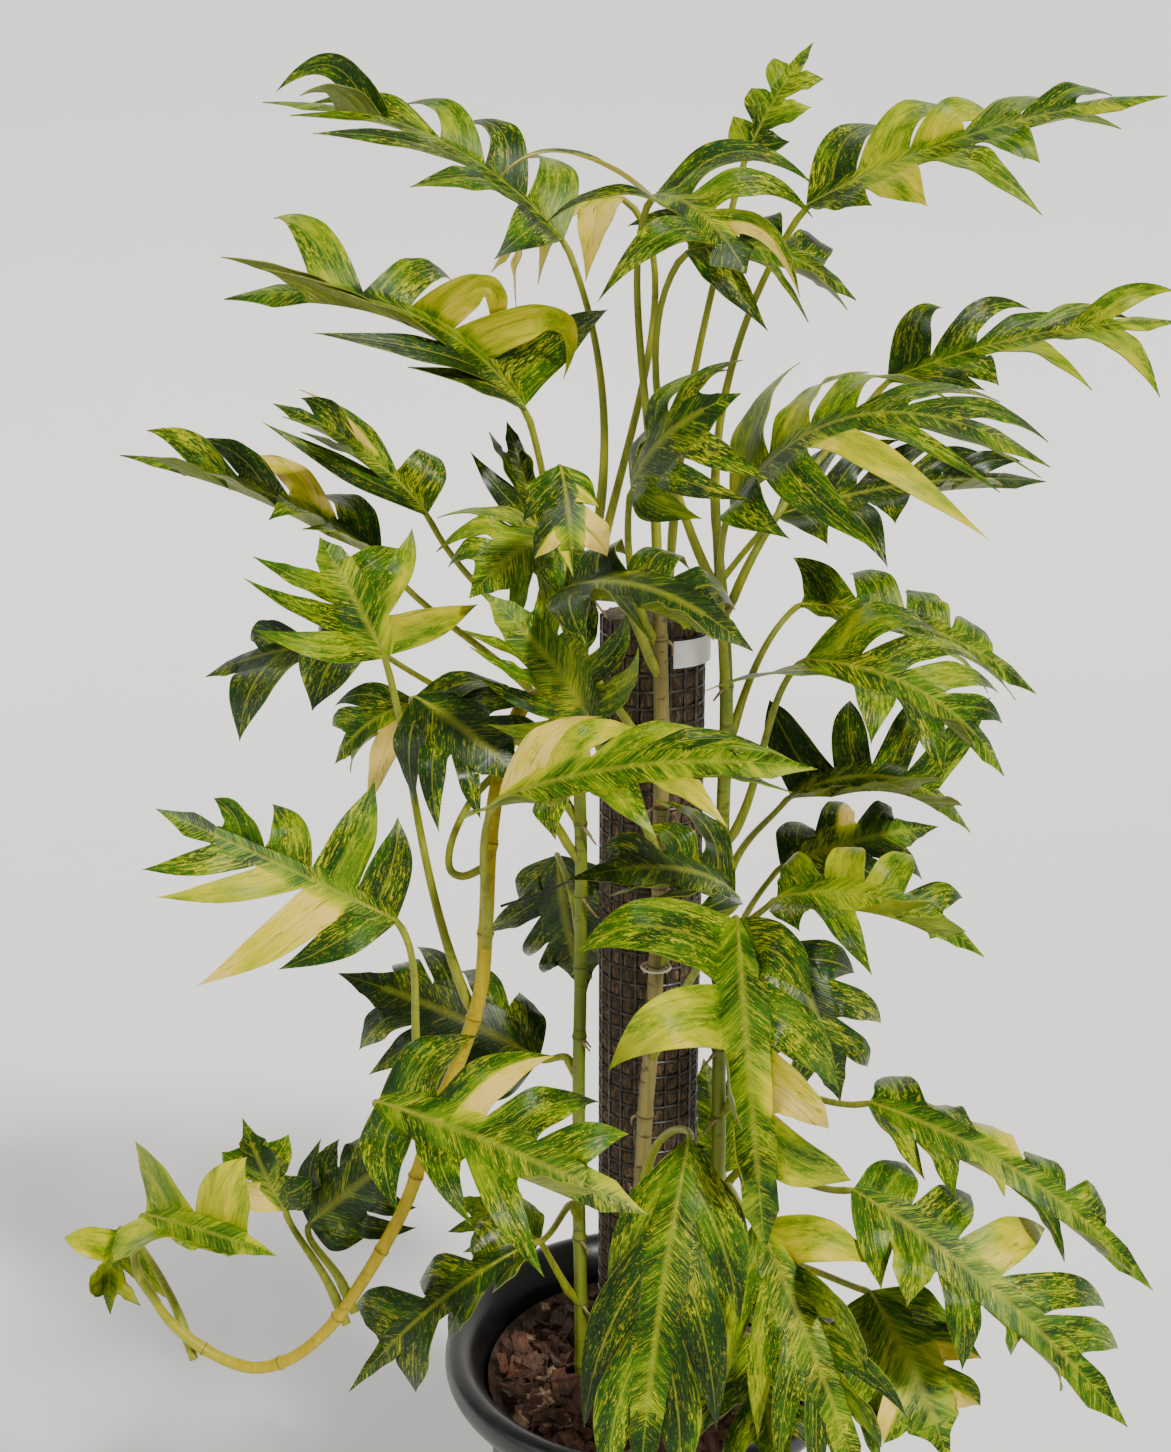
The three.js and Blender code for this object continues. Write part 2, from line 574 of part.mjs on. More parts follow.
// Lobes of the plainly seen leaves, from base to tip along each side: where the lobe ends, how far it arches
// over the straight line and how far it twists (degrees). The other leaves follow their own rule.
const lobeEnds = {
  centre_hanging: {
    left: [
      [88, -190, 626, 16, 0], [106, -190, 568, 14, 0], [95, -230, 564, 14, 20], [108, -235, 534, 10, 0],
    ],
    right: [
      [-51, -190, 654, 30, 0], [-32, -210, 590, 34, 10], [43, -250, 574, 6, 0], [49, -245, 530, 4, 0],
    ],
  },
  front_left_low: {
    left: [
      [-111, -150, 584, 14, 0], [-63, -160, 575, 12, 0], [-37, -180, 555, 10, 0], [-20, -220, 555, 6, 0],
    ],
    right: [
      [-152, -250, 522, 14, 10], [-109, -262, 521, 12, 0], [-68, -270, 493, 10, 20], [-36, -265, 544, 5, 0],
    ],
  },
  fan_mid_left: {
    left: [
      [-226, -185, 643, 5, 0], [-271, -200, 639, 5, 0], [-291, -200, 694, 5, 0], [-299, -195, 709, 5, 0],
    ],
    right: [
      [-157, -150, 726, 8, 0], [-171, -140, 745, 6, 0], [-231, -150, 734, 12, 0], [-261, -170, 744, 10, 0],
    ],
  },
  front_middle: {
    left: [
      [-35, -140, 785, 12, 0], [-6, -150, 775, 16, 0], [34, -160, 777, 10, 0], [60, -180, 776, 6, 0],
      [76, -190, 770, 3, 0],
    ],
    right: [
      [-115, -230, 749, 6, 0], [-61, -240, 742, 12, 10], [-7, -250, 747, 12, 10], [30, -260, 756, 14, 20],
      [66, -240, 769, 6, 0],
    ],
  },
  right_main: {
    left: [
      [90, -20, 984, 12, 0], [134, -20, 978, 12, 0], [183, -40, 961, 22, 20], [203, -80, 964, 8, 0],
      [231, -90, 941, 8, 0],
    ],
    right: [
      [72, -150, 892, 15, 0], [124, -160, 885, 15, 0], [180, -170, 895, 18, 20], [187, -160, 920, 8, 0],
      [212, -150, 927, 6, 0],
    ],
  },
  upper_left: {
    left: [
      [-148, -110, 986, 8, 0], [-199, -130, 1006, 8, 20], [-207, -142, 1037, 6, 0], [-222, -150, 1041, 6, 0],
      [-244, -150, 1047, 8, 10],
    ],
    right: [
      [-31, 0, 1016, 8, 20], [-59, -30, 974, 36, 30], [-104, -60, 989, 36, 30], [-127, -30, 1033, 12, 0],
      [-232, -50, 1070, 14, 0],
    ],
  },
  top_right: {
    left: [
      [160, 60, 1127, 18, -20], [214, 50, 1128, 24, 0], [233, 20, 1108, 26, 0], [256, 20, 1140, 8, 0],
      [280, 0, 1144, 6, 0],
    ],
    right: [
      [125, -60, 1077, 5, 20], [156, -70, 1076, 6, 40], [221, -80, 1071, 12, 0], [223, -60, 1101, 5, 30],
      [269, -60, 1120, 5, 20],
    ],
  },
  top_left: {
    left: [
      [-100, -60, 1046, 10, 0], [-150, -50, 1088, 8, 20], [-208, -40, 1119, 6, 40], [-223, -30, 1130, 5, 20],
      [-218, -20, 1142, 10, 0],
    ],
    right: [
      [-88, 70, 1111, 20, 0], [-133, 60, 1130, 20, 0], [-166, 60, 1143, 15, 0], [-224, 40, 1142, 10, 0],
      [-241, 30, 1149, 22, 0],
    ],
  },
  top_centre: {
    left: [[98, 0, 1091, 22, -60], [93, -36, 1071, 16, -45], [81, -84, 1024, 16, -20]],
    right: [[-100, -20, 1092, 26, -65], [-69, -44, 1067, 18, -50], [-38, -90, 1022, 22, -20]],
  },
  right_upper: {
    left: [
      [200, 90, 1015, 16, 0], [263, 100, 1014, 16, 0], [294, 90, 1006, 6, 0], [330, 90, 1008, 6, 0],
      [361, 90, 1026, 8, 0],
    ],
    right: [
      [217, 20, 964, 6, 30], [226, 20, 967, 6, 20], [287, 20, 964, 12, 0], [306, 30, 990, 6, 0],
      [335, 30, 959, 10, 0],
    ],
  },
  lower_right_upper: {
    left: [
      [156, -70, 516, 6, 0], [174, -80, 497, 6, 0], [205, -90, 493, 6, 0], [239, -120, 488, 5, 0],
      [283, -140, 469, 4, 0],
    ],
    right: [
      [167, -160, 491, 8, 0], [184, -170, 484, 8, 0], [212, -180, 491, 8, 0], [249, -190, 452, 8, 20],
      [294, -190, 442, 4, 0],
    ],
  },
  lower_right_lower: {
    left: [
      [158, -130, 495, 6, 0], [199, -140, 479, 6, 0], [246, -150, 462, 10, 0], [283, -170, 418, 14, 0],
      [287, -190, 403, 8, 0],
    ],
    right: [
      [132, -210, 458, 8, 0], [146, -220, 454, 8, 0], [180, -230, 417, 8, 10], [205, -240, 436, 6, 0],
      [235, -245, 415, 6, 0],
    ],
  },
  bottom_centre_right: {
    left: [
      [141, -200, 458, 14, 0], [131, -250, 413, 34, 20], [154, -255, 395, 14, 0], [140, -260, 377, 6, 0],
    ],
    right: [
      [49, -226, 386, 14, 0], [69, -250, 370, 8, 0], [80, -265, 362, 5, 0], [105, -265, 354, 4, 0],
    ],
  },
  bottom_centre: {
    left: [[64, -225, 437, 14, 0], [52, -262, 391, 10, 0], [32, -290, 369, 5, 0]],
    right: [[-10, -235, 425, 14, 0], [-25, -262, 386, 12, 0], [-8, -285, 363, 6, 0]],
  },
  right_second: {
    left: [[99, 60, 847, 5, 10], [144, 90, 830, 10, 0], [184, 90, 817, 9, 0], [224, 80, 797, 6, 0]],
    right: [[145, -10, 802, 8, 0], [185, -10, 798, 8, 0], [224, -10, 767, 10, 0], [248, 10, 757, 5, 0]],
  },
  right_third: {
    left: [[193, -10, 803, 24, 0], [219, -10, 787, 12, 0], [228, -20, 770, 8, 0], [227, -40, 754, 5, 0]],
    right: [
      [29, -100, 791, 10, 10], [128, -120, 762, 12, 10], [174, -120, 743, 4, 60], [196, -100, 752, 6, 0],
    ],
  },
  right_low: {
    left: [[92, -40, 660, 8, 0], [138, -40, 667, 10, 0], [171, -50, 666, 8, 0], [201, -70, 644, 6, 0]],
    right: [
      [89, -120, 641, 8, 0], [134, -130, 615, 10, 20], [176, -110, 657, 4, 40], [198, -100, 633, 4, 0],
    ],
  },
  far_left: {
    left: [
      [-223, -50, 883, 9, 10], [-242, -60, 890, 14, 10], [-288, -40, 918, 6, 10], [-322, -20, 924, 4, 0],
    ],
    right: [
      [-228, 40, 892, 12, 0], [-279, 40, 917, 12, -10], [-310, 30, 931, 8, 0], [-335, 20, 938, 6, 0],
    ],
  },
  mid_left_yellow: {
    left: [[-242, -130, 836, 8, 10], [-243, -140, 868, 6, 0], [-239, -130, 879, 6, 0]],
    right: [[-111, -90, 843, 10, 10], [-154, -50, 884, 18, 20], [-160, -70, 874, 5, 0]],
  },
  over_rim_left: {
    left: [[-106, -130, 391, 5, 0], [-135, -140, 364, 5, 0], [-156, -150, 330, 6, 0]],
    right: [[-118, -90, 419, 6, 0], [-157, -100, 379, 6, 0], [-199, -110, 369, 8, 0]],
  },
  young_end_left: {
    left: [[-341, -104, 487, 6, 0], [-258, -150, 501, 8, 0]],
    right: [[-340, -175, 442, 5, 0], [-284, -190, 460, 6, 0]],
  },
  centre_dark: {
    left: [[-19, -90, 873, 12, 0], [17, -110, 868, 12, 0], [42, -140, 849, 8, 0]],
    right: [[-43, -190, 836, 10, 10], [-10, -200, 844, 14, 10], [25, -210, 846, 8, 0]],
  },
  centre_left_yellow: {
    left: [
      [-97, -120, 789, 10, 10], [-101, -130, 823, 8, 10], [-102, -140, 844, 8, 0], [-108, -130, 852, 10, 0],
    ],
    right: [[-4, -80, 818, 8, 10], [-10, -70, 843, 10, 0], [-32, -80, 860, 8, 0], [-60, -90, 870, 5, 0]],
  },
  left_mid_high: {
    left: [[-252, -10, 946, 4, 20], [-228, -10, 940, 5, 10], [-243, 10, 948, 3, 0]],
    right: [[-160, 60, 920, 16, 10], [-239, 60, 962, 5, 30], [-237, 50, 957, 4, 0]],
  },
  right_behind: {
    left: [
      [140, 90, 925, 6, 0], [177, 100, 924, 8, 0], [206, 100, 921, 6, 0], [238, 100, 914, 6, 0],
      [265, 100, 909, 4, 0],
    ],
    right: [
      [115, 0, 865, 10, 10], [155, 0, 850, 12, 10], [162, 20, 876, 8, 10], [195, 40, 898, 6, 20],
      [242, 60, 897, 5, 0],
    ],
  },
  left_dark: {
    left: [[-230, 0, 752, 7, 10], [-280, 0, 731, 10, 20]],
    right: [[-233, 60, 797, 8, 0], [-281, 60, 788, 6, 0]],
  },
  left_below: {
    left: [[-190, -40, 694, 8, 10], [-201, -30, 718, 5, 0]],
    right: [[-217, 20, 751, 8, 0], [-218, 10, 739, 5, 0]],
  },
  centre_glossy: {
    left: [[19, -140, 660, 8, 0], [-6, -150, 673, 6, 0], [-30, -150, 676, 4, 0]],
    right: [[0, -60, 708, 14, 0], [-10, -90, 699, 8, 0], [-35, -120, 695, 5, 0]],
  },
  right_fourth: {
    left: [[86, 60, 745, 12, 0], [145, 70, 742, 10, 0], [205, 70, 753, 12, 10], [243, 60, 747, 8, 0]],
    right: [[134, -10, 703, 6, 0], [172, -10, 702, 8, 0], [198, -10, 707, 8, 0], [216, 10, 682, 5, 0]],
  },
  below_top_right: {
    left: [[3, 20, 1070, 8, 0], [87, 30, 1060, 10, 0], [124, 10, 1042, 8, 0]],
    right: [[80, -60, 1002, 8, 0], [103, -70, 1006, 12, 0], [128, -60, 1010, 6, 0]],
  },
  young_end_small: {
    left: [[-328, -90, 357, 8, 0], [-347, -100, 361, 4, 0]],
    right: [[-395, -100, 413, 5, 0], [-377, -110, 378, 4, 0]],
  },
  upper_left_dark: {
    left: [[-119, -14, 928, 6, 10], [-107, -10, 940, 6, 0]],
    right: [[-60, -6, 909, 5, 10], [-87, -6, 928, 5, 0]],
  },
};

// Where a petiole leaves its stem, just clear of the stem's side, or of its end where the share is 1.
function petioleFoot(leaf) {
  const stem = stems[leaf.stem];
  const curve = stemCurve(stem);
  const centre = curve.getPointAt(leaf.share);
  const out = vec(leaf.base.x - centre.x, leaf.base.y - centre.y, 0).normalize();
  if (leaf.share === 1) {
    const ahead = curve.getTangentAt(1);
    const point = centre.clone().add(ahead.clone().multiplyScalar(HEEL + PETIOLE_GAP));
    return { out, point, ahead, heel: point.clone().sub(ahead.clone().multiplyScalar(HEEL)) };
  }
  const reach = stemRadius(stem, leaf.share) * NODE_SWELL + PETIOLE_FOOT_RADIUS + PETIOLE_GAP;
  const point = centre.clone().add(out.clone().multiplyScalar(reach));
  const ahead = out.clone().multiplyScalar(PETIOLE_LEAN).add(UP.clone().multiplyScalar(PETIOLE_CLIMB));
  return { out, point, ahead, heel: vec(point.x - out.x, point.y - out.y, point.z - HEEL) };
}

// Half width of a lobe along its length, as a share of its root: full, then drawn to a point.
function strapWidth(at) {
  const x = Math.max((at - STRAP_FULL) / (1 - STRAP_FULL), 0);
  return STRAP_WIDTH * (1 - x) ** STRAP_POINT * (1 + STRAP_BELLY * x);
}

function bezier(points, at) {
  const line = points.map((p) => p.clone());
  for (let n = line.length - 1; n > 0; n--) {
    for (let k = 0; k < n; k++) line[k].lerp(line[k + 1], at);
  }
  return line[0];
}

function bezierAhead(points, at) {
  return bezier(points, at + SLOPE_STEP).sub(bezier(points, at - SLOPE_STEP)).normalize();
}

// One deeply cut leaf with its petiole, turned about the petiole's foot. grow thickens it all round.
function leafGeometry(leaf, swing, lift, grow) {
  const draw = seededDraw(leaf.seed);
  const foot = petioleFoot(leaf);
  const liftAxis = foot.out.clone().cross(UP).normalize();
  const turn = new THREE.Quaternion().setFromAxisAngle(UP, swing * DEGREE);
  turn.multiply(new THREE.Quaternion().setFromAxisAngle(liftAxis, lift * DEGREE));
  const turnPoint = (p) => p.clone().sub(foot.point).applyQuaternion(turn).add(foot.point);
  const base = turnPoint(leaf.base);
  const tip = turnPoint(leaf.tip);
  const chord = tip.clone().sub(base);
  const face = leaf.face.clone().applyQuaternion(turn);
  const squareTo = (v, axis) => v.clone().sub(axis.clone().multiplyScalar(v.dot(axis))).normalize();
  const rise = squareTo(face, chord.clone().normalize()).multiplyScalar(leaf.arch * 2);
  const midrib = [base, base.clone().add(tip).multiplyScalar(0.5).add(rise), tip];

  const points = [];
  const lifts = [];
  const sinks = [];
  const half = BLADE_THICKNESS / 2 + grow;
  const addPoint = (p, ridge, keel) => {
    points.push(p);
    lifts.push(half + ridge);
    sinks.push(half + keel);
    return points.length - 1;
  };
  const triangles = [];
  const frameAt = (s) => {
    const ahead = bezierAhead(midrib, s);
    const normal = squareTo(face, ahead);
    return { point: bezier(midrib, s), ahead, normal, side: ahead.clone().cross(normal) };
  };

  // Midrib and the narrow web on both sides of it
  const cuts = [];
  const frames = [];
  for (let j = 0; j <= leaf.lobes; j++) {
    const s = BLADE_START + (BLADE_END - BLADE_START) * (j / leaf.lobes);
    const frame = frameAt(s);
    const web = (j === 0 ? PETIOLE_END_RADIUS : leaf.web * (1 - WEB_FALL * s)) + grow;
    const middle = addPoint(frame.point, RIDGE_HEIGHT, KEEL_DEPTH * (1 - s));
    const edges = [-1, 1].map((hand) => {
      const p = frame.point.clone().add(frame.side.clone().multiplyScalar(hand * web));
      return addPoint(p, 0, 0);
    });
    cuts.push({ middle, edges });
    frames.push(frame);
  }
  const quad = (a, b, c, d, hand) => {
    if (hand > 0) triangles.push([a, b, c], [a, c, d]);
    else triangles.push([a, c, b], [a, d, c]);
  };
  for (let j = 0; j < leaf.lobes; j++) {
    [-1, 1].forEach((hand, h) => {
      const near = cuts[j];
      const far = cuts[j + 1];
      quad(near.middle, near.edges[h], far.edges[h], far.middle, hand);
    });
  }

  // Lobes: straps that arch out from the band beside the midrib and hang or twist towards their ends
  [-1, 1].forEach((hand, h) => {
    for (let j = 0; j < leaf.lobes; j++) {
      const u = (j + 0.5) / leaf.lobes;
      const near = points[cuts[j].edges[h]];
      const far = points[cuts[j + 1].edges[h]];
      const frame = frameAt(BLADE_START + (BLADE_END - BLADE_START) * u);
      const angle = (LOBE_ANGLE - LOBE_ANGLE_FALL * u + (draw() - 0.5) * LOBE_ANGLE_SPREAD) * DEGREE;
      const droop = leaf.droop * between(DROOP_RANGE, draw()) * DEGREE;
      let twist = (draw() - 0.5) * LOBE_TWIST_SPREAD * DEGREE;
      const outline = Math.sin(Math.PI * (OUTLINE_START + OUTLINE_RUN * u));
      const length = leaf.width * outline * between(LENGTH_RANGE, draw());
      const root = near.clone().add(far).multiplyScalar(0.5);
      let bow = length * (BOW_BASE + Math.sin(droop) * BOW_GAIN);
      let end;
      if (leaf.ends) {
        const [x, y, z, ownBow, ownTwist] = leaf.ends[h][j];
        end = turnPoint(vec(x, y, z));
        bow = ownBow;
        twist = ownTwist * DEGREE;
      } else {
        const down = leaf.fold * DEGREE + droop;
        const level = length * Math.cos(down);
        end = root.clone().addScaledVector(frame.ahead, level * Math.cos(angle));
        end.addScaledVector(frame.side, level * hand * Math.sin(angle));
        end.addScaledVector(frame.normal, -length * Math.sin(down));
      }
      const bend = root.clone().lerp(end, BEND_AT).addScaledVector(frame.normal, bow * 2);
      bend.addScaledVector(frame.side, hand * end.distanceTo(root) * SPREAD);
      const curve = [root, bend, end];
      const spacing = near.distanceTo(far) * 0.5;
      let edge = squareTo(frame.ahead, bezierAhead(curve, 0));
      let previous = [cuts[j].edges[h], cuts[j + 1].edges[h]];
      for (const at of bow > CURLED_BOW ? CURLED_STATIONS : PLAIN_STATIONS) {
        const run = bezierAhead(curve, at);
        edge = squareTo(edge, run);
        const upper = run.clone().cross(edge).multiplyScalar(hand);
        const leaned = edge.clone().multiplyScalar(Math.cos(twist * at));
        leaned.addScaledVector(upper, Math.sin(twist * at));
        const slant = Math.max(run.clone().cross(frame.ahead).length(), LEAST_LOBE_SHARE);
        leaned.multiplyScalar(spacing * slant * strapWidth(at) + grow);
        const centre = bezier(curve, at);
        const a = addPoint(centre.clone().sub(leaned), 0, 0);
        const b = addPoint(centre.clone().add(leaned), 0, 0);
        quad(previous[0], a, b, previous[1], hand);
        previous = [a, b];
      }
      const last = addPoint(end, 0, 0);
      if (hand > 0) triangles.push([previous[0], last, previous[1]]);
      else triangles.push([previous[0], previous[1], last]);
    }
  });

  // Terminal lobe with its drip tip
  const lastCut = cuts[leaf.lobes];
  const shoulder = frameAt(TERMINAL_AT);
  const middle = addPoint(shoulder.point, 0, 0);
  const spread = leaf.width * TERMINAL_SHARE + grow;
  const tipPoint = addPoint(bezier(midrib, 1), 0, 0);
  [-1, 1].forEach((hand, h) => {
    const p = shoulder.point.clone().add(shoulder.side.clone().multiplyScalar(hand * spread));
    const edge = addPoint(p, 0, 0);
    quad(lastCut.middle, lastCut.edges[h], edge, middle, hand);
    if (hand > 0) triangles.push([middle, edge, tipPoint]);
    else triangles.push([middle, tipPoint, edge]);
  });

  // Upper and lower faces, alike triangle for triangle
  const normals = points.map(() => vec(0, 0, 0));
  for (const [a, b, c] of triangles) {
    const ab = points[b].clone().sub(points[a]);
    const normal = ab.cross(points[c].clone().sub(points[a]));
    [a, b, c].forEach((k) => normals[k].add(normal));
  }
  normals.forEach((n) => n.normalize());
  const count = points.length;
  const solid = points.map((p, k) => p.clone().add(normals[k].clone().multiplyScalar(lifts[k])));
  points.forEach((p, k) => solid.push(p.clone().sub(normals[k].clone().multiplyScalar(sinks[k]))));
  const faces = [];
  const seen = new Set();
  for (const [a, b, c] of triangles) {
    faces.push([a, b, c], [a + count, c + count, b + count]);
    [[a, b], [b, c], [c, a]].forEach((edge) => seen.add(edge.join()));
  }
  const first = cuts[0];
  const open = [[first.edges[0], first.middle].join(), [first.middle, first.edges[1]].join()];
  for (const key of seen) {
    const [a, b] = key.split(",").map(Number);
    if (seen.has([b, a].join()) || open.includes(key)) continue;
    faces.push([b, a, a + count], [b, a + count, b + count]);
  }

  // Petiole: six-sided rings that end on the six corners of the blade's base
  const run = base.distanceTo(foot.point);
  const start = frames[0];
  const leave = foot.ahead.clone().multiplyScalar(run * PETIOLE_LEAVE);
  const arrive = start.ahead.clone().multiplyScalar(run * PETIOLE_ARRIVE);
  arrive.add(UP.clone().multiplyScalar(run * PETIOLE_RISE));
  const path = [foot.point, foot.point.clone().add(leave), start.point.clone().sub(arrive), start.point];
  const rings = [];
  let top = start.normal.clone();
  for (let k = PETIOLE_STEPS - 1; k >= 0; k--) {
    const at = k / PETIOLE_STEPS;
    const ahead = bezierAhead(path, at);
    top = squareTo(top, ahead);
    const side = ahead.clone().cross(top);
    const radius = THREE.MathUtils.lerp(PETIOLE_FOOT_RADIUS, PETIOLE_END_RADIUS, at) + grow;
    const centre = bezier(path, at);
    const ring = PETIOLE_CORNERS.map((degrees) => {
      const p = centre.clone().add(side.clone().multiplyScalar(Math.cos(degrees * DEGREE) * radius));
      p.add(top.clone().multiplyScalar(Math.sin(degrees * DEGREE) * radius));
      return solid.push(p) - 1;
    });
    rings.unshift(ring);
  }
  const upperEnd = [first.edges[0], first.middle, first.edges[1]];
  rings.push([...upperEnd, ...upperEnd.map((k) => k + count).reverse()]);
  const corners = PETIOLE_CORNERS.length;
  for (let k = 0; k < PETIOLE_STEPS; k++) {
    for (let q = 0; q < corners; q++) {
      const next = (q + 1) % corners;
      faces.push([rings[k][q], rings[k][next], rings[k + 1][q]]);
      faces.push([rings[k][next], rings[k + 1][next], rings[k + 1][q]]);
    }
  }
  const below = foot.heel.clone().sub(foot.point).normalize().multiplyScalar(grow);
  const heelIndex = solid.push(foot.heel.clone().add(below)) - 1;
  for (let q = 0; q < corners; q++) faces.push([rings[0][(q + 1) % corners], rings[0][q], heelIndex]);
  return geometryFrom(solid, faces);
}

// Each leaf in turn takes the smallest swing and lift that keeps it clear of what is already there.
const turns = SWING_STEPS.flatMap((swing) => LIFT_STEPS.map((lift) => [swing, lift]));
const cost = ([swing, lift]) => Math.abs(swing) + Math.abs(lift) * LIFT_COST;
turns.sort((a, b) => cost(a) - cost(b));

leaves.forEach((row, k) => {
  const [name, stem, share, base, tip, face, width, lobes, arch, droop, fold, web, color] = row;
  const leaf = { name, stem, share, width, lobes, arch, droop, fold, web, seed: k + 1 };
  if (lobeEnds[name]) leaf.ends = [lobeEnds[name].left, lobeEnds[name].right];
  leaf.base = vec(...base);
  leaf.tip = vec(...tip);
  leaf.face = vec(...face);
  const found = turns.find(([swing, lift]) => {
    const solid = solidOf(leafGeometry(leaf, swing, lift, CLEARANCE));
    const clear = isClear(solid);
    solid.delete();
    return clear;
  });
  if (!found) throw new Error("no clear place for leaf " + name);
  addPart("leaf_" + name, leafGeometry(leaf, found[0], found[1], 0), color, LEAF_ROUGHNESS);
});

export default group;
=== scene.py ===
import itertools
import math
from collections import namedtuple
from types import SimpleNamespace

import bpy
import numpy as np
from mathutils import Euler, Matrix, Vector


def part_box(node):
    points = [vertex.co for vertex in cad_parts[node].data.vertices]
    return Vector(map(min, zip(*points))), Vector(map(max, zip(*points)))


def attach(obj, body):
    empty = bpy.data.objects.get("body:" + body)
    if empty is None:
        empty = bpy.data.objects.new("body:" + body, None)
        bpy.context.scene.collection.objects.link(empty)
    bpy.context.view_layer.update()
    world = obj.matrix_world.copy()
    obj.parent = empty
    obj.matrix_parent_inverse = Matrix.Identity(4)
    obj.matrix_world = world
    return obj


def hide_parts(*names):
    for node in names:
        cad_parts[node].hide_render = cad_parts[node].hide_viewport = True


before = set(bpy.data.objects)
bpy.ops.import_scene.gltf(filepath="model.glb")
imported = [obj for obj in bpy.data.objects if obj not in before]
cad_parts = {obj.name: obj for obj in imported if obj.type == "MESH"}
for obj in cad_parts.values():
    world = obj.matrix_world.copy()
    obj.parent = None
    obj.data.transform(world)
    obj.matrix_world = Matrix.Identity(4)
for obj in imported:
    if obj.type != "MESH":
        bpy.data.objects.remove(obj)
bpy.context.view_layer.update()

# Golden flame pothos on a net-covered pole in a nursery pot. Lengths are in millimetres until a mesh is
# made, which turns them into metres.
MM = 0.001
DEGREE = math.pi / 180
UP = np.array([0.0, 0.0, 1.0])

# Camera, as a real lens: the photograph is 1171 x 1452 and the long side takes the sensor's width
SENSOR = 36.0
LENS = 42.15
CAMERA_PLACE = (-0.045, -1.113, 1.040)
CAMERA_PITCH = 15

# Studio light, in metres
SKY_STRENGTH = 0.38
SUN_STRENGTH = 4.3
SUN_WIDTH = 9
SUN_AIM = (-1.0, 1.25, -1.7)
SUN_COLOR = (1, 0.97, 0.92)
FILL_PLACE = (-2.0, -1.4, 1.6)
FILL_AIM = (2.0, 1.4, -0.9)
FILL_SIZE = 1.8
FILL_POWER = 16

# Pot, mix, pole, label and ties, as in the solids
POT_HEIGHT = 270
POT_BASE_RADIUS = 98
POT_WALL_TOP = 238
POT_WALL_TOP_RADIUS = 122
POT_LIP_RADIUS = 150
POT_LIP_DEPTH = 24
POT_MOUTH_RADIUS = 133
POT_WALL = 3
MIX_TOP = 243
POLE_RADIUS = 34.5
POLE_BULGE = 2.2
POLE_FOOT = 60
POLE_TOP = 820
LABEL_RADIUS = 38
LABEL_THICKNESS = 0.8
LABEL_HEIGHT = 18
LABEL_BOTTOM = 790
LABEL_FROM = -1.25
LABEL_SWEEP = 1.15
TIE_RADIUS = 0.9
TIE_PATH = [(-97, -128, 661), (-66, -84, 656), (-28, -42, 662)]
TIE_LOOP_RADIUS = 9.6
TIE_LOOP_CENTRE = (2.4, -51.8, 588)

# What only the looks have: facets of the pot, loose chips and fibres, the net and the looped root
POT_FACETS = 120
MIX_FACETS = 96
MIX_RINGS = 22
MIX_FOOT = 8
CHIP_TOTAL = 520
FIBRE_TOTAL = 90
NET_COLUMNS = 20
NET_ROWS = 66
NET_FINE = 4
STRAND = 0.95
STEM_SIDES = 14
LOOP_HEIGHTS = (743, 688)
LOOP_BULGE = (-27, -4, -14)
LOOP_RADIUS = 2.7

# Stems, petioles and lobes, as in the solids
NODE_SPACING = 54
NODE_SWELL = 1.16
STEM_END = 0.64
WEB_FALL = 0.45
BLADE_START = 0.03
BLADE_END = 0.78
LOBE_ANGLE = 64
LOBE_ANGLE_FALL = 26
LOBE_ANGLE_SPREAD = 22
LOBE_TWIST_SPREAD = 70
DROOP_RANGE = (0.5, 1.5)
LENGTH_RANGE = (0.74, 1.2)
OUTLINE_START = 0.32
OUTLINE_RUN = 0.5
LEAST_LOBE_SHARE = 0.6
TERMINAL_SHARE = 0.15
BOW_BASE = 0.06
BOW_GAIN = 0.22
BEND_AT = 0.45
SPREAD = 0.1
STRAP_WIDTH = 0.92
STRAP_FULL = 0.2
STRAP_POINT = 1.35
STRAP_BELLY = 1.5
CURLED_BOW = 13
CURLED_STATIONS = (0.22, 0.46, 0.74)
PLAIN_STATIONS = (0.34, 0.72)
PETIOLE_FOOT_RADIUS = 3.2
PETIOLE_END_RADIUS = 2.1
PETIOLE_GAP = 0.6
HEEL = 5
PETIOLE_LEAN = 0.45
PETIOLE_CLIMB = 0.9
PETIOLE_LEAVE = 0.38
PETIOLE_ARRIVE = 0.2
PETIOLE_RISE = 0.16
SOCKET_BACK = 12
SOCKET_DOWN = 14
SWING_STEPS = (0, 3, -3, 6, -6, 9, -9, 12, -12, 16, -16, 20, -20, 25, -25, 30, -30)
LIFT_STEPS = (0, 3, -3, 6, -6, 9, -9, 13, -13)

# Blade of a leaf, finer than in the solids: half its thickness, the points across a lobe, rows along it,
# rows in the end lobe and how far the streaks sweep forward
BLADE = 0.36
ACROSS = (-1.0, -0.72, -0.4, -0.13, 0.0, 0.13, 0.4, 0.72, 1.0)
LOBE_ROWS = 22
END_ROWS = 12
STREAK_SWEEP = 0.9

# How pale a leaf is, how often half a lobe of it is cream, and the tones of single lobes:
# deep, green, fresh, lime, yellow and cream
PALE_OF = {"deep": 0.16, "green": 0.29, "lime": 0.41, "olive": 0.39, "cream": 0.84}
CREAM_CHANCE = {"deep": 0.0, "green": 0.04, "lime": 0.08, "olive": 0.1, "cream": 0.6}
TINTS = {"d": 0.14, "g": 0.28, "f": 0.41, "l": 0.55, "y": 0.69, "c": 0.93}

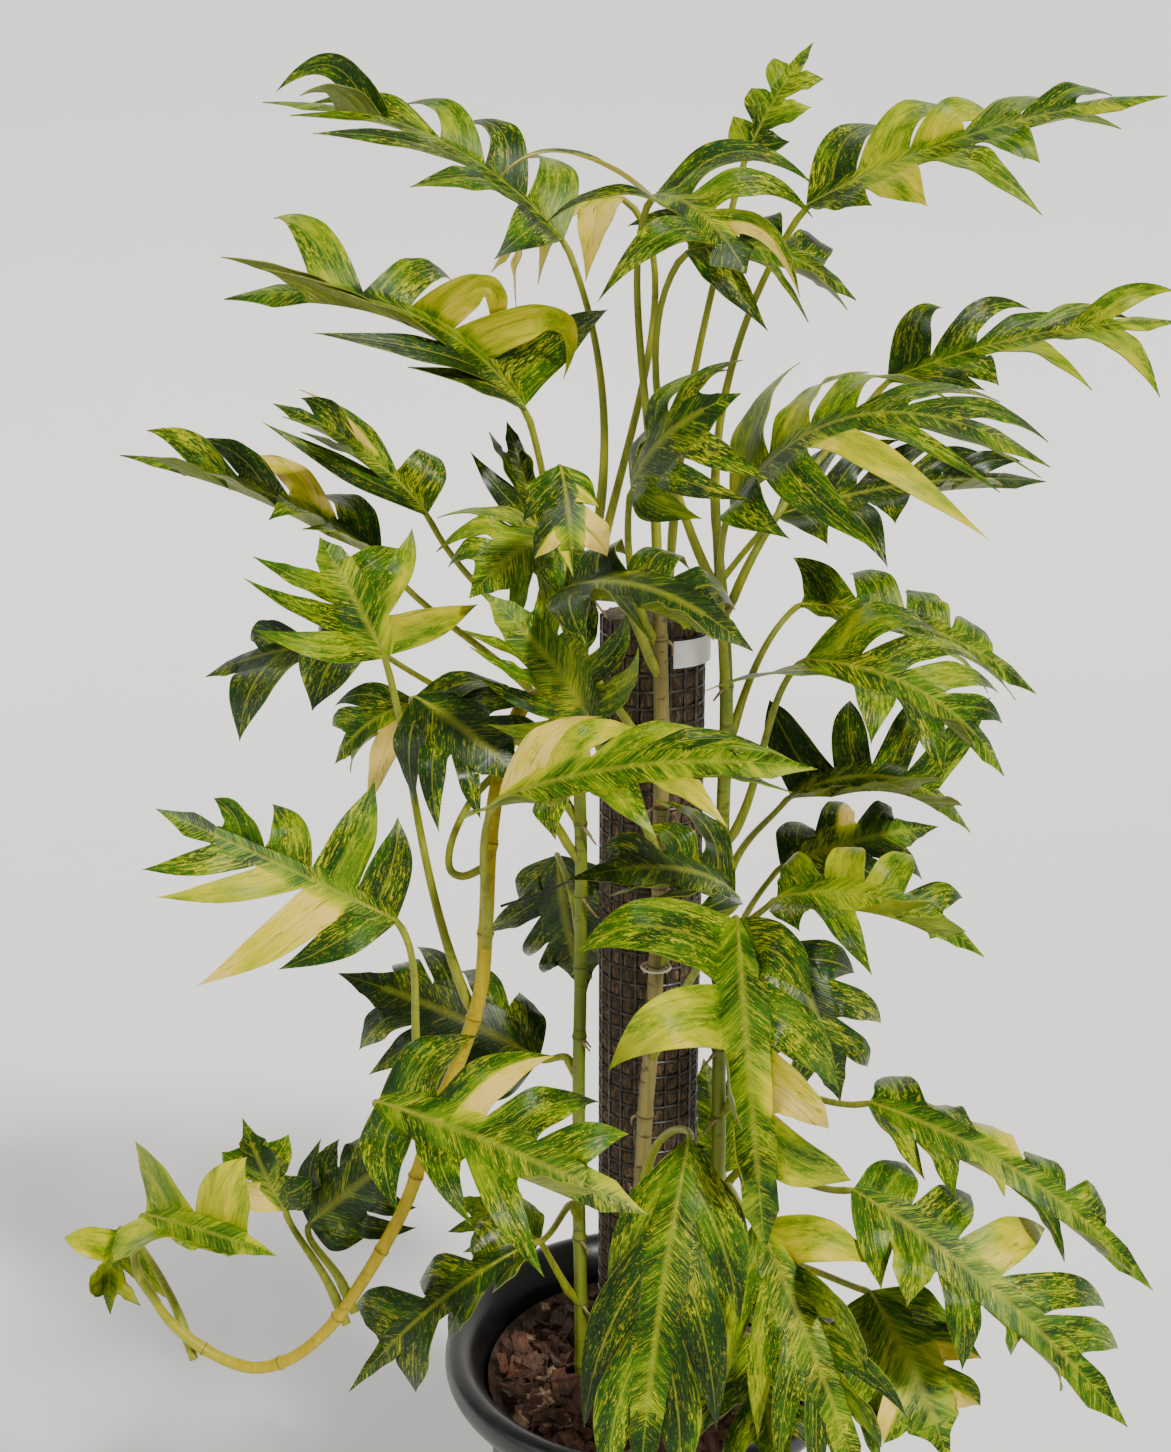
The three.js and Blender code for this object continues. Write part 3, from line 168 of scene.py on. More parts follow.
# Leaf colours, linear
GREEN_STOPS = [
    (0.0, (0.004, 0.018, 0.001)), (0.25, (0.009, 0.043, 0.001)), (0.4, (0.033, 0.105, 0.001)),
    (0.52, (0.1, 0.185, 0.001)), (0.62, (0.24, 0.3, 0.002)), (0.72, (0.42, 0.42, 0.003)),
    (0.82, (0.57, 0.48, 0.012)), (0.92, (0.7, 0.54, 0.07)), (1.0, (0.72, 0.52, 0.11)),
]
FLECK = (0.42, 0.42, 0.006)
STREAK = (0.26, 0.31, 0.003)
GREEN_STREAK = (0.16, 0.22, 0.004)
RIB = (0.3, 0.32, 0.02)
RIM = (0.22, 0.25, 0.01)
UNDERSIDE = (0.2, 0.22, 0.02)

# Stems: radius at the foot, share lost by the end, skin and the way they go
STEMS = {
    "front": (6, 0.15, "stem_tan", [
        (-2, -52, 200), (-2, -52, 262), (-6, -51, 420), (3, -52, 600), (4, -53, 760), (0, -50, 868)]),
    "right": (5.6, 0.2, "stem_green", [
        (48, -20, 200), (48, -20, 262), (50, -17, 430), (47, -22, 620), (48, -18, 780), (40, -14, 878)]),
    "left": (5.2, 0.2, "stem_green", [
        (-48, -12, 200), (-48, -12, 262), (-50, -10, 430), (-48, -8, 620), (-48, -12, 780),
        (-36, -12, 886)]),
    "rear": (5.2, 0.2, "stem_green", [
        (10, 51, 200), (10, 51, 262), (6, 52, 430), (12, 51, 620), (10, 52, 780), (14, 42, 860)]),
    "arching": (5.4, 0.3, "stem_golden", [
        (-46, -34, 742), (-62, -52, 772), (-82, -74, 778), (-97, -104, 742), (-104, -124, 700),
        (-106, -134, 655), (-110, -138, 610), (-121, -142, 572), (-140, -146, 525), (-160, -150, 466),
        (-185, -154, 420), (-215, -154, 376), (-240, -150, 354), (-264, -146, 346), (-292, -140, 353),
        (-318, -136, 374), (-332, -133, 396)]),
}

# Leaves, as in the solids: name, stem, share of its length, base and tip of the blade, the way its upper
# face looks, half width, lobes a side, arch of the midrib, droop, fold, uncut band and colour. Where single
# lobes are coloured, a letter for each follows: left and right side from base to tip, then the two halves
# of the end. The letters are those of TINTS, and h is a lobe that is half green and half cream.
Leaf = namedtuple("Leaf", "seed name stem share base tip face width lobes arch droop fold web color tints")
LEAF_ROWS = [
    ("centre_hanging", "front", 0.5, (46, -150, 668), (60, -232, 484), (-0.1, -0.9, 0.42),
     70, 4, 40, 30, 6, 16, "lime", "gfcl fygf gl"),
    ("front_left_low", "arching", 0.52, (-174, -186, 560), (-10, -256, 524), (0.1, -0.72, 0.69),
     66, 4, 14, 30, 6, 16, "lime", "ghff ggfl yg"),
    ("fan_mid_left", "arching", 0.5, (-154, -160, 662), (-290, -190, 744), (0, -0.8, 0.6),
     50, 4, 4, 14, -4, 8, "lime", "gcyf ggff fg"),
    ("front_middle", "arching", 0.33, (-100, -176, 744), (84, -206, 772), (0, -0.6, 0.8),
     60, 5, 20, 34, 6, 14, "lime", "cylgf fgfyg gl"),
    ("right_main", "right", 0.86, (40, -66, 892), (224, -124, 930), (-0.1, -0.5, 0.86),
     70, 5, 58, 32, 6, 13, "green", "llfgg ggyfg gf"),
    ("upper_left", "left", 0.87, (-78, -62, 954), (-252, -110, 1024), (0.15, -0.5, 0.85),
     80, 5, 36, 30, 6, 13, "green", "dddgg gycgf gf"),
    ("top_right", "right", 1, (86, -12, 1076), (300, -42, 1140), (0, -0.5, 0.86),
     60, 5, 14, 34, 6, 12, "lime", "gllff gyfff fl"),
    ("top_left", "left", 1, (-54, 6, 1054), (-248, 20, 1142), (0.1, -0.28, 0.95),
     70, 5, 26, 20, 8, 11, "green", "gfggg fgfgg fg"),
    ("top_centre", "front", 1, (-6, -34, 1084), (48, -96, 1038), (0, -0.6, 0.8),
     110, 3, 16, 22, -3, 12, "green", "gfh hgg gg"),
    ("right_upper", "right", 0.93, (154, 60, 966), (362, 80, 1006), (0, -0.5, 0.86),
     60, 5, 14, 30, 6, 9, "green", "gggfl gglll ll"),
    ("lower_right_upper", "right", 0.4, (132, -112, 522), (312, -172, 420), (0.2, -0.6, 0.77),
     60, 5, 30, 22, 2, 14, "lime", "gfygg fgygg gf"),
    ("lower_right_lower", "right", 0.3, (112, -168, 504), (280, -240, 386), (0.2, -0.62, 0.76),
     76, 5, 22, 22, 2, 15, "lime", "fgygf flggf gf"),
    ("bottom_centre_right", "right", 0.28, (66, -184, 482), (128, -262, 352), (0.1, -0.86, 0.5),
     56, 4, 24, 28, 6, 13, "olive", "yfgf flgg gf"),
    ("bottom_centre", "front", 0.36, (32, -194, 546), (10, -292, 370), (-0.1, -0.9, 0.42),
     56, 3, 26, 26, 8, 15, "olive", "gdg fdg gg"),
    ("right_second", "right", 0.8, (98, 44, 818), (270, 40, 754), (0, -0.55, 0.83),
     60, 4, 22, 22, 4, 14, "green", "gfgf ggfg fg"),
    ("right_third", "right", 0.7, (90, -50, 800), (224, -66, 726), (0, -0.55, 0.83),
     60, 4, 30, 28, 6, 15, "green", "fgfg gfgg gf"),
    ("right_low", "right", 0.58, (76, -62, 640), (210, -102, 616), (0, -0.5, 0.86),
     50, 4, 30, 34, 6, 15, "lime", "fllg gflf lf"),
    ("far_left", "left", 0.78, (-174, -10, 856), (-348, 0, 924), (0.1, -0.4, 0.9),
     40, 4, 15, 26, 8, 11, "green", "gggg gcgg gg"),
    ("mid_left_yellow", "arching", 0.4, (-166, -102, 810), (-206, -90, 884), (0, -0.8, 0.6),
     60, 3, 8, 18, 0, 16, "lime", "fff ylf lf"),
    ("over_rim_left", "left", 0.27, (-76, -96, 410), (-200, -150, 330), (-0.3, -0.6, 0.75),
     34, 3, 20, 22, 12, 13, "deep", ""),
    ("young_end_left", "arching", 1, (-334, -128, 448), (-234, -190, 456), (-0.1, -0.66, 0.75),
     30, 2, 8, 20, 4, 11, "lime", "ly ll yl"),
    ("centre_dark", "front", 0.8, (-60, -102, 854), (48, -192, 836), (0, -0.5, 0.86),
     60, 3, 22, 34, 8, 20, "deep", "dgd ddg dg"),
    ("centre_left_yellow", "front", 0.72, (-34, -102, 774), (-92, -120, 870), (-0.1, -0.62, 0.78),
     60, 4, 16, 26, 6, 18, "olive", "lfff fggf lf"),
    ("left_mid_high", "left", 0.82, (-148, 20, 880), (-254, 40, 954), (0.25, -0.55, 0.8),
     44, 3, 14, 26, 10, 8, "green", ""),
    ("top_upright", "rear", 1, (56, 40, 1106), (102, 60, 1182), (-0.35, -0.9, 0.2),
     24, 3, 8, 16, -4, 7, "lime", "lfl glf lf"),
    ("upper_centre_grey", "front", 0.93, (-14, -62, 908), (52, -104, 970), (0, -0.62, 0.78),
     60, 3, 14, 26, 10, 24, "green", "ggg fgg gg"),
    ("right_behind", "rear", 0.88, (80, 60, 874), (280, 90, 896), (0, -0.5, 0.86),
     60, 5, 14, 30, 6, 13, "deep", ""),
    ("left_dark", "left", 0.71, (-188, 40, 788), (-312, 50, 764), (-0.1, -0.5, 0.86),
     50, 2, 12, 24, 6, 14, "deep", ""),
    ("left_below", "left", 0.67, (-156, -10, 762), (-214, -10, 718), (-0.2, -0.6, 0.77),
     40, 2, 12, 28, 8, 14, "green", "cg gg gg"),
    ("middle_left_back", "left", 0.43, (-74, 10, 488), (-226, 40, 544), (0, -0.62, 0.78),
     60, 4, 12, 30, 8, 24, "deep", ""),
    ("centre_glossy", "front", 0.6, (54, -84, 650), (-56, -150, 686), (0, -0.6, 0.8),
     40, 3, 22, 32, 6, 17, "deep", "ddg dgd dd"),
    ("right_brown_edge", "right", 0.54, (94, 60, 618), (218, 90, 640), (0, -0.6, 0.8),
     46, 3, 10, 26, 8, 20, "olive", "dhd ddd dd"),
    ("right_fourth", "right", 0.64, (96, 50, 674), (230, 40, 652), (0, -0.55, 0.83),
     50, 4, 44, 28, 6, 15, "green", "ddgg gdgg gg"),
    ("below_top_right", "right", 0.96, (34, -18, 1052), (136, -44, 1014), (0, -0.5, 0.86),
     50, 3, 18, 26, 8, 14, "green", ""),
    ("top_cream", "left", 0.94, (-22, 30, 1088), (-112, 50, 1040), (0, -0.5, 0.86),
     56, 3, 16, 22, 8, 9, "cream", ""),
    ("lower_olive", "right", 0.2, (138, -140, 402), (180, -222, 328), (0.1, -0.82, 0.56),
     38, 3, 16, 20, 6, 27, "olive", ""),
    ("node_upright", "arching", 0.735, (-240, -124, 446), (-262, -138, 522), (-0.2, -0.95, 0.24),
     24, 2, 4, 14, -6, 14, "green", ""),
    ("young_end_small", "arching", 0.93, (-366, -72, 404), (-368, -100, 354), (-0.3, -0.8, 0.5),
     20, 2, 6, 14, 4, 8, "lime", "ll yl lf"),
    ("node_dark", "arching", 0.72, (-230, -126, 436), (-168, -116, 486), (0.1, -0.8, 0.6),
     36, 3, 8, 22, 8, 22, "deep", ""),
    ("behind_left", "left", 0.58, (-66, 60, 632), (-44, 70, 516), (-0.3, -0.84, 0.3),
     56, 4, 12, 20, 8, 24, "deep", ""),
    ("centre_cream_hang", "front", 0.9, (-60, -120, 932), (-52, -150, 870), (0.2, -0.94, 0.26),
     28, 2, 8, 18, 14, 12, "green", "hc gh gc"),
    ("upper_left_dark", "left", 0.85, (-74, -12, 868), (-96, -2, 946), (0.2, -0.92, 0.34),
     30, 2, 6, 16, 10, 8, "deep", ""),
    ("upper_left_small", "left", 0.8, (-60, -62, 880), (-110, -112, 850), (0, -0.75, 0.66),
     58, 3, 14, 28, 8, 22, "olive", "fff flf ff"),
    ("centre_left_dark", "left", 0.74, (-160, -80, 786), (-94, -128, 742), (0, -0.8, 0.6),
     56, 3, 10, 20, 8, 22, "deep", ""),
    ("behind_right_low", "rear", 0.2, (62, 62, 366), (46, 90, 452), (0.2, -0.92, 0.34),
     50, 3, 8, 16, 6, 18, "green", ""),
    ("right_dark_hang", "right", 0.48, (84, -80, 620), (120, -112, 520), (0.25, -0.9, 0.36),
     54, 3, 10, 20, 8, 18, "deep", ""),
    ("bottom_small", "front", 0.2, (66, -150, 376), (82, -240, 338), (0, -0.8, 0.6),
     56, 3, 12, 22, 8, 18, "green", ""),
    ("bottom_right_curl", "right", 0.14, (104, -132, 356), (166, -192, 338), (0.1, -0.75, 0.66),
     50, 3, 12, 24, 8, 18, "olive", ""),
    ("rim_left_small", "left", 0.17, (-76, -24, 362), (-140, -14, 392), (0, -0.62, 0.78),
     36, 3, 10, 22, 8, 12, "olive", ""),
]

# Lobes of the plainly seen leaves, left side and right side from base to tip: end, arch and any twist
LOBE_ENDS = {
    "centre_hanging": (
        [(88, -190, 626, 16), (106, -190, 568, 14), (95, -230, 564, 14, 20), (108, -235, 534, 10)],
        [(-51, -190, 654, 30), (-32, -210, 590, 34, 10), (43, -250, 574, 6), (49, -245, 530, 4)]),
    "front_left_low": (
        [(-111, -150, 584, 14), (-63, -160, 575, 12), (-37, -180, 555, 10), (-20, -220, 555, 6)],
        [(-152, -250, 522, 14, 10), (-109, -262, 521, 12), (-68, -270, 493, 10, 20), (-36, -265, 544, 5)]),
    "fan_mid_left": (
        [(-226, -185, 643, 5), (-271, -200, 639, 5), (-291, -200, 694, 5), (-299, -195, 709, 5)],
        [(-157, -150, 726, 8), (-171, -140, 745, 6), (-231, -150, 734, 12), (-261, -170, 744, 10)]),
    "front_middle": (
        [(-35, -140, 785, 12), (-6, -150, 775, 16), (34, -160, 777, 10), (60, -180, 776, 6),
         (76, -190, 770, 3)],
        [(-115, -230, 749, 6), (-61, -240, 742, 12, 10), (-7, -250, 747, 12, 10), (30, -260, 756, 14, 20),
         (66, -240, 769, 6)]),
    "right_main": (
        [(90, -20, 984, 12), (134, -20, 978, 12), (183, -40, 961, 22, 20), (203, -80, 964, 8),
         (231, -90, 941, 8)],
        [(72, -150, 892, 15), (124, -160, 885, 15), (180, -170, 895, 18, 20), (187, -160, 920, 8),
         (212, -150, 927, 6)]),
    "upper_left": (
        [(-148, -110, 986, 8), (-199, -130, 1006, 8, 20), (-207, -142, 1037, 6), (-222, -150, 1041, 6),
         (-244, -150, 1047, 8, 10)],
        [(-31, 0, 1016, 8, 20), (-59, -30, 974, 36, 30), (-104, -60, 989, 36, 30), (-127, -30, 1033, 12),
         (-232, -50, 1070, 14)]),
    "top_right": (
        [(160, 60, 1127, 18, -20), (214, 50, 1128, 24), (233, 20, 1108, 26), (256, 20, 1140, 8),
         (280, 0, 1144, 6)],
        [(125, -60, 1077, 5, 20), (156, -70, 1076, 6, 40), (221, -80, 1071, 12), (223, -60, 1101, 5, 30),
         (269, -60, 1120, 5, 20)]),
    "top_left": (
        [(-100, -60, 1046, 10), (-150, -50, 1088, 8, 20), (-208, -40, 1119, 6, 40),
         (-223, -30, 1130, 5, 20), (-218, -20, 1142, 10)],
        [(-88, 70, 1111, 20), (-133, 60, 1130, 20), (-166, 60, 1143, 15), (-224, 40, 1142, 10),
         (-241, 30, 1149, 22)]),
    "top_centre": (
        [(98, 0, 1091, 22, -60), (93, -36, 1071, 16, -45), (81, -84, 1024, 16, -20)],
        [(-100, -20, 1092, 26, -65), (-69, -44, 1067, 18, -50), (-38, -90, 1022, 22, -20)]),
    "right_upper": (
        [(200, 90, 1015, 16), (263, 100, 1014, 16), (294, 90, 1006, 6), (330, 90, 1008, 6),
         (361, 90, 1026, 8)],
        [(217, 20, 964, 6, 30), (226, 20, 967, 6, 20), (287, 20, 964, 12), (306, 30, 990, 6),
         (335, 30, 959, 10)]),
    "lower_right_upper": (
        [(156, -70, 516, 6), (174, -80, 497, 6), (205, -90, 493, 6), (239, -120, 488, 5),
         (283, -140, 469, 4)],
        [(167, -160, 491, 8), (184, -170, 484, 8), (212, -180, 491, 8), (249, -190, 452, 8, 20),
         (294, -190, 442, 4)]),
    "lower_right_lower": (
        [(158, -130, 495, 6), (199, -140, 479, 6), (246, -150, 462, 10), (283, -170, 418, 14),
         (287, -190, 403, 8)],
        [(132, -210, 458, 8), (146, -220, 454, 8), (180, -230, 417, 8, 10), (205, -240, 436, 6),
         (235, -245, 415, 6)]),
    "bottom_centre_right": (
        [(141, -200, 458, 14), (131, -250, 413, 34, 20), (154, -255, 395, 14), (140, -260, 377, 6)],
        [(49, -226, 386, 14), (69, -250, 370, 8), (80, -265, 362, 5), (105, -265, 354, 4)]),
    "bottom_centre": (
        [(64, -225, 437, 14), (52, -262, 391, 10), (32, -290, 369, 5)],
        [(-10, -235, 425, 14), (-25, -262, 386, 12), (-8, -285, 363, 6)]),
    "right_second": (
        [(99, 60, 847, 5, 10), (144, 90, 830, 10), (184, 90, 817, 9), (224, 80, 797, 6)],
        [(145, -10, 802, 8), (185, -10, 798, 8), (224, -10, 767, 10), (248, 10, 757, 5)]),
    "right_third": (
        [(193, -10, 803, 24), (219, -10, 787, 12), (228, -20, 770, 8), (227, -40, 754, 5)],
        [(29, -100, 791, 10, 10), (128, -120, 762, 12, 10), (174, -120, 743, 4, 60), (196, -100, 752, 6)]),
    "right_low": (
        [(92, -40, 660, 8), (138, -40, 667, 10), (171, -50, 666, 8), (201, -70, 644, 6)],
        [(89, -120, 641, 8), (134, -130, 615, 10, 20), (176, -110, 657, 4, 40), (198, -100, 633, 4)]),
    "far_left": (
        [(-223, -50, 883, 9, 10), (-242, -60, 890, 14, 10), (-288, -40, 918, 6, 10), (-322, -20, 924, 4)],
        [(-228, 40, 892, 12), (-279, 40, 917, 12, -10), (-310, 30, 931, 8), (-335, 20, 938, 6)]),
    "mid_left_yellow": (
        [(-242, -130, 836, 8, 10), (-243, -140, 868, 6), (-239, -130, 879, 6)],
        [(-111, -90, 843, 10, 10), (-154, -50, 884, 18, 20), (-160, -70, 874, 5)]),
    "over_rim_left": (
        [(-106, -130, 391, 5), (-135, -140, 364, 5), (-156, -150, 330, 6)],
        [(-118, -90, 419, 6), (-157, -100, 379, 6), (-199, -110, 369, 8)]),
    "young_end_left": (
        [(-341, -104, 487, 6), (-258, -150, 501, 8)],
        [(-340, -175, 442, 5), (-284, -190, 460, 6)]),
    "centre_dark": (
        [(-19, -90, 873, 12), (17, -110, 868, 12), (42, -140, 849, 8)],
        [(-43, -190, 836, 10, 10), (-10, -200, 844, 14, 10), (25, -210, 846, 8)]),
    "centre_left_yellow": (
        [(-97, -120, 789, 10, 10), (-101, -130, 823, 8, 10), (-102, -140, 844, 8), (-108, -130, 852, 10)],
        [(-4, -80, 818, 8, 10), (-10, -70, 843, 10), (-32, -80, 860, 8), (-60, -90, 870, 5)]),
    "left_mid_high": (
        [(-252, -10, 946, 4, 20), (-228, -10, 940, 5, 10), (-243, 10, 948, 3)],
        [(-160, 60, 920, 16, 10), (-239, 60, 962, 5, 30), (-237, 50, 957, 4)]),
    "right_behind": (
        [(140, 90, 925, 6), (177, 100, 924, 8), (206, 100, 921, 6), (238, 100, 914, 6), (265, 100, 909, 4)],
        [(115, 0, 865, 10, 10), (155, 0, 850, 12, 10), (162, 20, 876, 8, 10), (195, 40, 898, 6, 20),
         (242, 60, 897, 5)]),
    "left_dark": (
        [(-230, 0, 752, 7, 10), (-280, 0, 731, 10, 20)],
        [(-233, 60, 797, 8), (-281, 60, 788, 6)]),
    "left_below": (
        [(-190, -40, 694, 8, 10), (-201, -30, 718, 5)],
        [(-217, 20, 751, 8), (-218, 10, 739, 5)]),
    "centre_glossy": (
        [(19, -140, 660, 8), (-6, -150, 673, 6), (-30, -150, 676, 4)],
        [(0, -60, 708, 14), (-10, -90, 699, 8), (-35, -120, 695, 5)]),
    "right_fourth": (
        [(86, 60, 745, 12), (145, 70, 742, 10), (205, 70, 753, 12, 10), (243, 60, 747, 8)],
        [(134, -10, 703, 6), (172, -10, 702, 8), (198, -10, 707, 8), (216, 10, 682, 5)]),
    "below_top_right": (
        [(3, 20, 1070, 8), (87, 30, 1060, 10), (124, 10, 1042, 8)],
        [(80, -60, 1002, 8), (103, -70, 1006, 12), (128, -60, 1010, 6)]),
    "young_end_small": (
        [(-328, -90, 357, 8), (-347, -100, 361, 4)],
        [(-395, -100, 413, 5), (-377, -110, 378, 4)]),
    "upper_left_dark": (
        [(-119, -14, 928, 6, 10), (-107, -10, 940, 6)],
        [(-60, -6, 909, 5, 10), (-87, -6, 928, 5)]),
}

# Small vector helpers
def unit(v):
    return v / np.linalg.norm(v)


def square_to(v, axis):
    """The part of v that is square to a unit axis, at length 1."""
    return unit(v - axis * np.dot(v, axis))


def between(low_high, amount):
    return low_high[0] + (low_high[1] - low_high[0]) * amount


def around(angle, radius, z=0.0):
    """A point by its angle about the upright axis, its distance from it and its height."""
    return np.array([math.cos(angle) * radius, math.sin(angle) * radius, z])


def full_turn(count):
    """The angles of one turn in equal steps."""
    return [2 * math.pi * k / count for k in range(count)]


def turned_about(v, axis, degrees):
    """v turned about a unit axis by the right-hand rule."""
    angle = degrees * DEGREE
    cross = np.cross(axis, v)
    return v * math.cos(angle) + cross * math.sin(angle) + axis * np.dot(axis, v) * (1 - math.cos(angle))


class Draw:
    """The same repeatable stream of numbers between 0 and 1 as the solids use."""

    MODULUS = 2147483647
    FACTOR = 16807

    def __init__(self, seed):
        self.state = (seed * 7919 + 104729) % self.MODULUS

    def __call__(self):
        self.state = (self.state * self.FACTOR) % self.MODULUS
        return self.state / self.MODULUS


def bezier(points, at):
    line = [np.array(p, float) for p in points]
    while len(line) > 1:
        line = [a + (b - a) * at for a, b in zip(line, line[1:])]
    return line[0]


def bezier_ahead(points, at):
    step = 1e-3
    return unit(bezier(points, at + step) - bezier(points, at - step))


class Run:
    """A polyline that is read by share of its length."""

    def __init__(self, points):
        self.points = np.array(points, float)
        steps = np.linalg.norm(np.diff(self.points, axis=0), axis=1)
        self.marks = np.concatenate([[0], np.cumsum(steps)])
        self.length = self.marks[-1]

    def at(self, share):
        mark = min(max(share, 0), 1) * self.length
        return np.array([np.interp(mark, self.marks, self.points[:, k]) for k in range(3)])

    def ahead(self, share):
        step = 1e-3
        return unit(self.at(min(share + step, 1)) - self.at(max(share - step, 0)))


def smooth_run(points, samples=24):
    """A Catmull-Rom curve with centripetal spacing through the points, as a dense polyline."""
    p = [np.array(q, float) for q in points]
    p = [2 * p[0] - p[1]] + p + [2 * p[-1] - p[-2]]
    line = []
    for a, b, c, d in zip(p, p[1:], p[2:], p[3:]):
        before, here, after = [max(np.linalg.norm(n - m) ** 0.5, 1e-4) for m, n in ((a, b), (b, c), (c, d))]
        leave = ((b - a) / before - (c - a) / (before + here) + (c - b) / here) * here
        arrive = ((c - b) / here - (d - b) / (here + after) + (d - c) / after) * here
        for n in range(samples):
            t = n / samples
            line.append(b + leave * t + (-3 * b + 3 * c - 2 * leave - arrive) * t**2
                        + (2 * b - 2 * c + leave + arrive) * t**3)
    return Run(line + [p[-2]])


STEM_RUNS = {name: smooth_run(points) for name, (_, _, _, points) in STEMS.items()}


def stem_radius(name, share):
    radius, fall, _, _ = STEMS[name]
    return radius * (1 - fall * share)


# Mesh building
def placed(name, data):
    """A new object in the scene."""
    made = bpy.data.objects.new(name, data)
    bpy.context.scene.collection.objects.link(made)
    return made


class Build:
    """Collects points, faces, a two-number surface coordinate and a tone for each point."""

    def __init__(self):
        self.points, self.coords, self.tones = [], [], []
        self.faces, self.slots = [], []

    def point(self, p, coord=(0, 0), tone=(0, 0, 0)):
        self.points.append(p)
        self.coords.append(coord)
        self.tones.append(tone)
        return len(self.points) - 1

    def face(self, corners, slot=0):
        """A face without its repeated corners, where three or more are left."""
        corners = tuple(dict.fromkeys(corners))
        if len(corners) > 2:
            self.faces.append(corners)
            self.slots.append(slot)

    def grid(self, rows, slot=0, flip=False):
        """Quads between rows of point numbers."""
        for near, far in zip(rows, rows[1:]):
            for k in range(len(near) - 1):
                corners = (near[k], near[k + 1], far[k + 1], far[k])
                self.face(corners[::-1] if flip else corners, slot)

    def loft(self, rings, slot=0, closed=False):
        """A skin over rings of point numbers, with a cap at both ends or closed on itself."""
        self.grid([[*ring, ring[0]] for ring in (rings + rings[:1] if closed else rings)], slot)
        if not closed:
            self.face(rings[0][::-1], slot)
            self.face(rings[-1], slot)

    def tube(self, centres, radii, sides, slot=0, tone=(0, 0, 0)):
        """A tube with a radius for every ring, or for every corner of every ring."""
        centres = [np.array(c, float) for c in centres]
        last = len(centres) - 1
        side = np.array([1.0, 0.3, 0.1])
        rings = []
        travelled = 0.0
        for k, centre in enumerate(centres):
            ahead = unit(centres[min(k + 1, last)] - centres[max(k - 1, 0)])
            side = square_to(side, ahead)
            other = np.cross(ahead, side)
            if k:
                travelled += np.linalg.norm(centre - centres[k - 1])
            ring = []
            for q, angle in enumerate(full_turn(sides)):
                reach = side * math.cos(angle) + other * math.sin(angle)
                radius = radii[k] if np.isscalar(radii[k]) else radii[k][q]
                ring.append(self.point(centre + reach * radius, (travelled, q), tone))
            rings.append(ring)
        self.loft(rings, slot)

    def hoop(self, centres, radius, sides, slot=0):
        """A closed ring of round section, whose centres go once round an upright axis."""
        rings = []
        for angle, centre in zip(full_turn(len(centres)), centres):
            out = around(angle, 1)
            rings.append([self.point(centre + (out * math.cos(b) + UP * math.sin(b)) * radius)
                          for b in full_turn(sides)])
        self.loft(rings[::-1], slot, closed=True)

    def piece(self, name, materials, node, slot_name, sharp=50):
        """The mesh itself, in place of a node of the solids."""
        mesh = bpy.data.meshes.new(name)
        mesh.from_pydata([tuple(np.asarray(p) * MM) for p in self.points], [], self.faces)
        for material in materials:
            mesh.materials.append(material)
        mesh.polygons.foreach_set("material_index", self.slots)
        loops = np.zeros(len(mesh.loops), dtype=np.int32)
        mesh.loops.foreach_get("vertex_index", loops)
        uv = mesh.uv_layers.new(name="vein")
        uv.data.foreach_set("uv", (np.array(self.coords, float)[loops] * MM).ravel())
        tone = mesh.attributes.new("tone", "FLOAT_COLOR", "POINT")
        rgba = np.concatenate([np.array(self.tones, float), np.ones((len(self.tones), 1))], axis=1)
        tone.data.foreach_set("color", rgba.ravel())
        mesh.shade_smooth()
        mesh.set_sharp_from_angle(angle=sharp * DEGREE)
        mesh.update()
        piece = placed(name, mesh)
        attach(piece, "root")
        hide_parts(node)


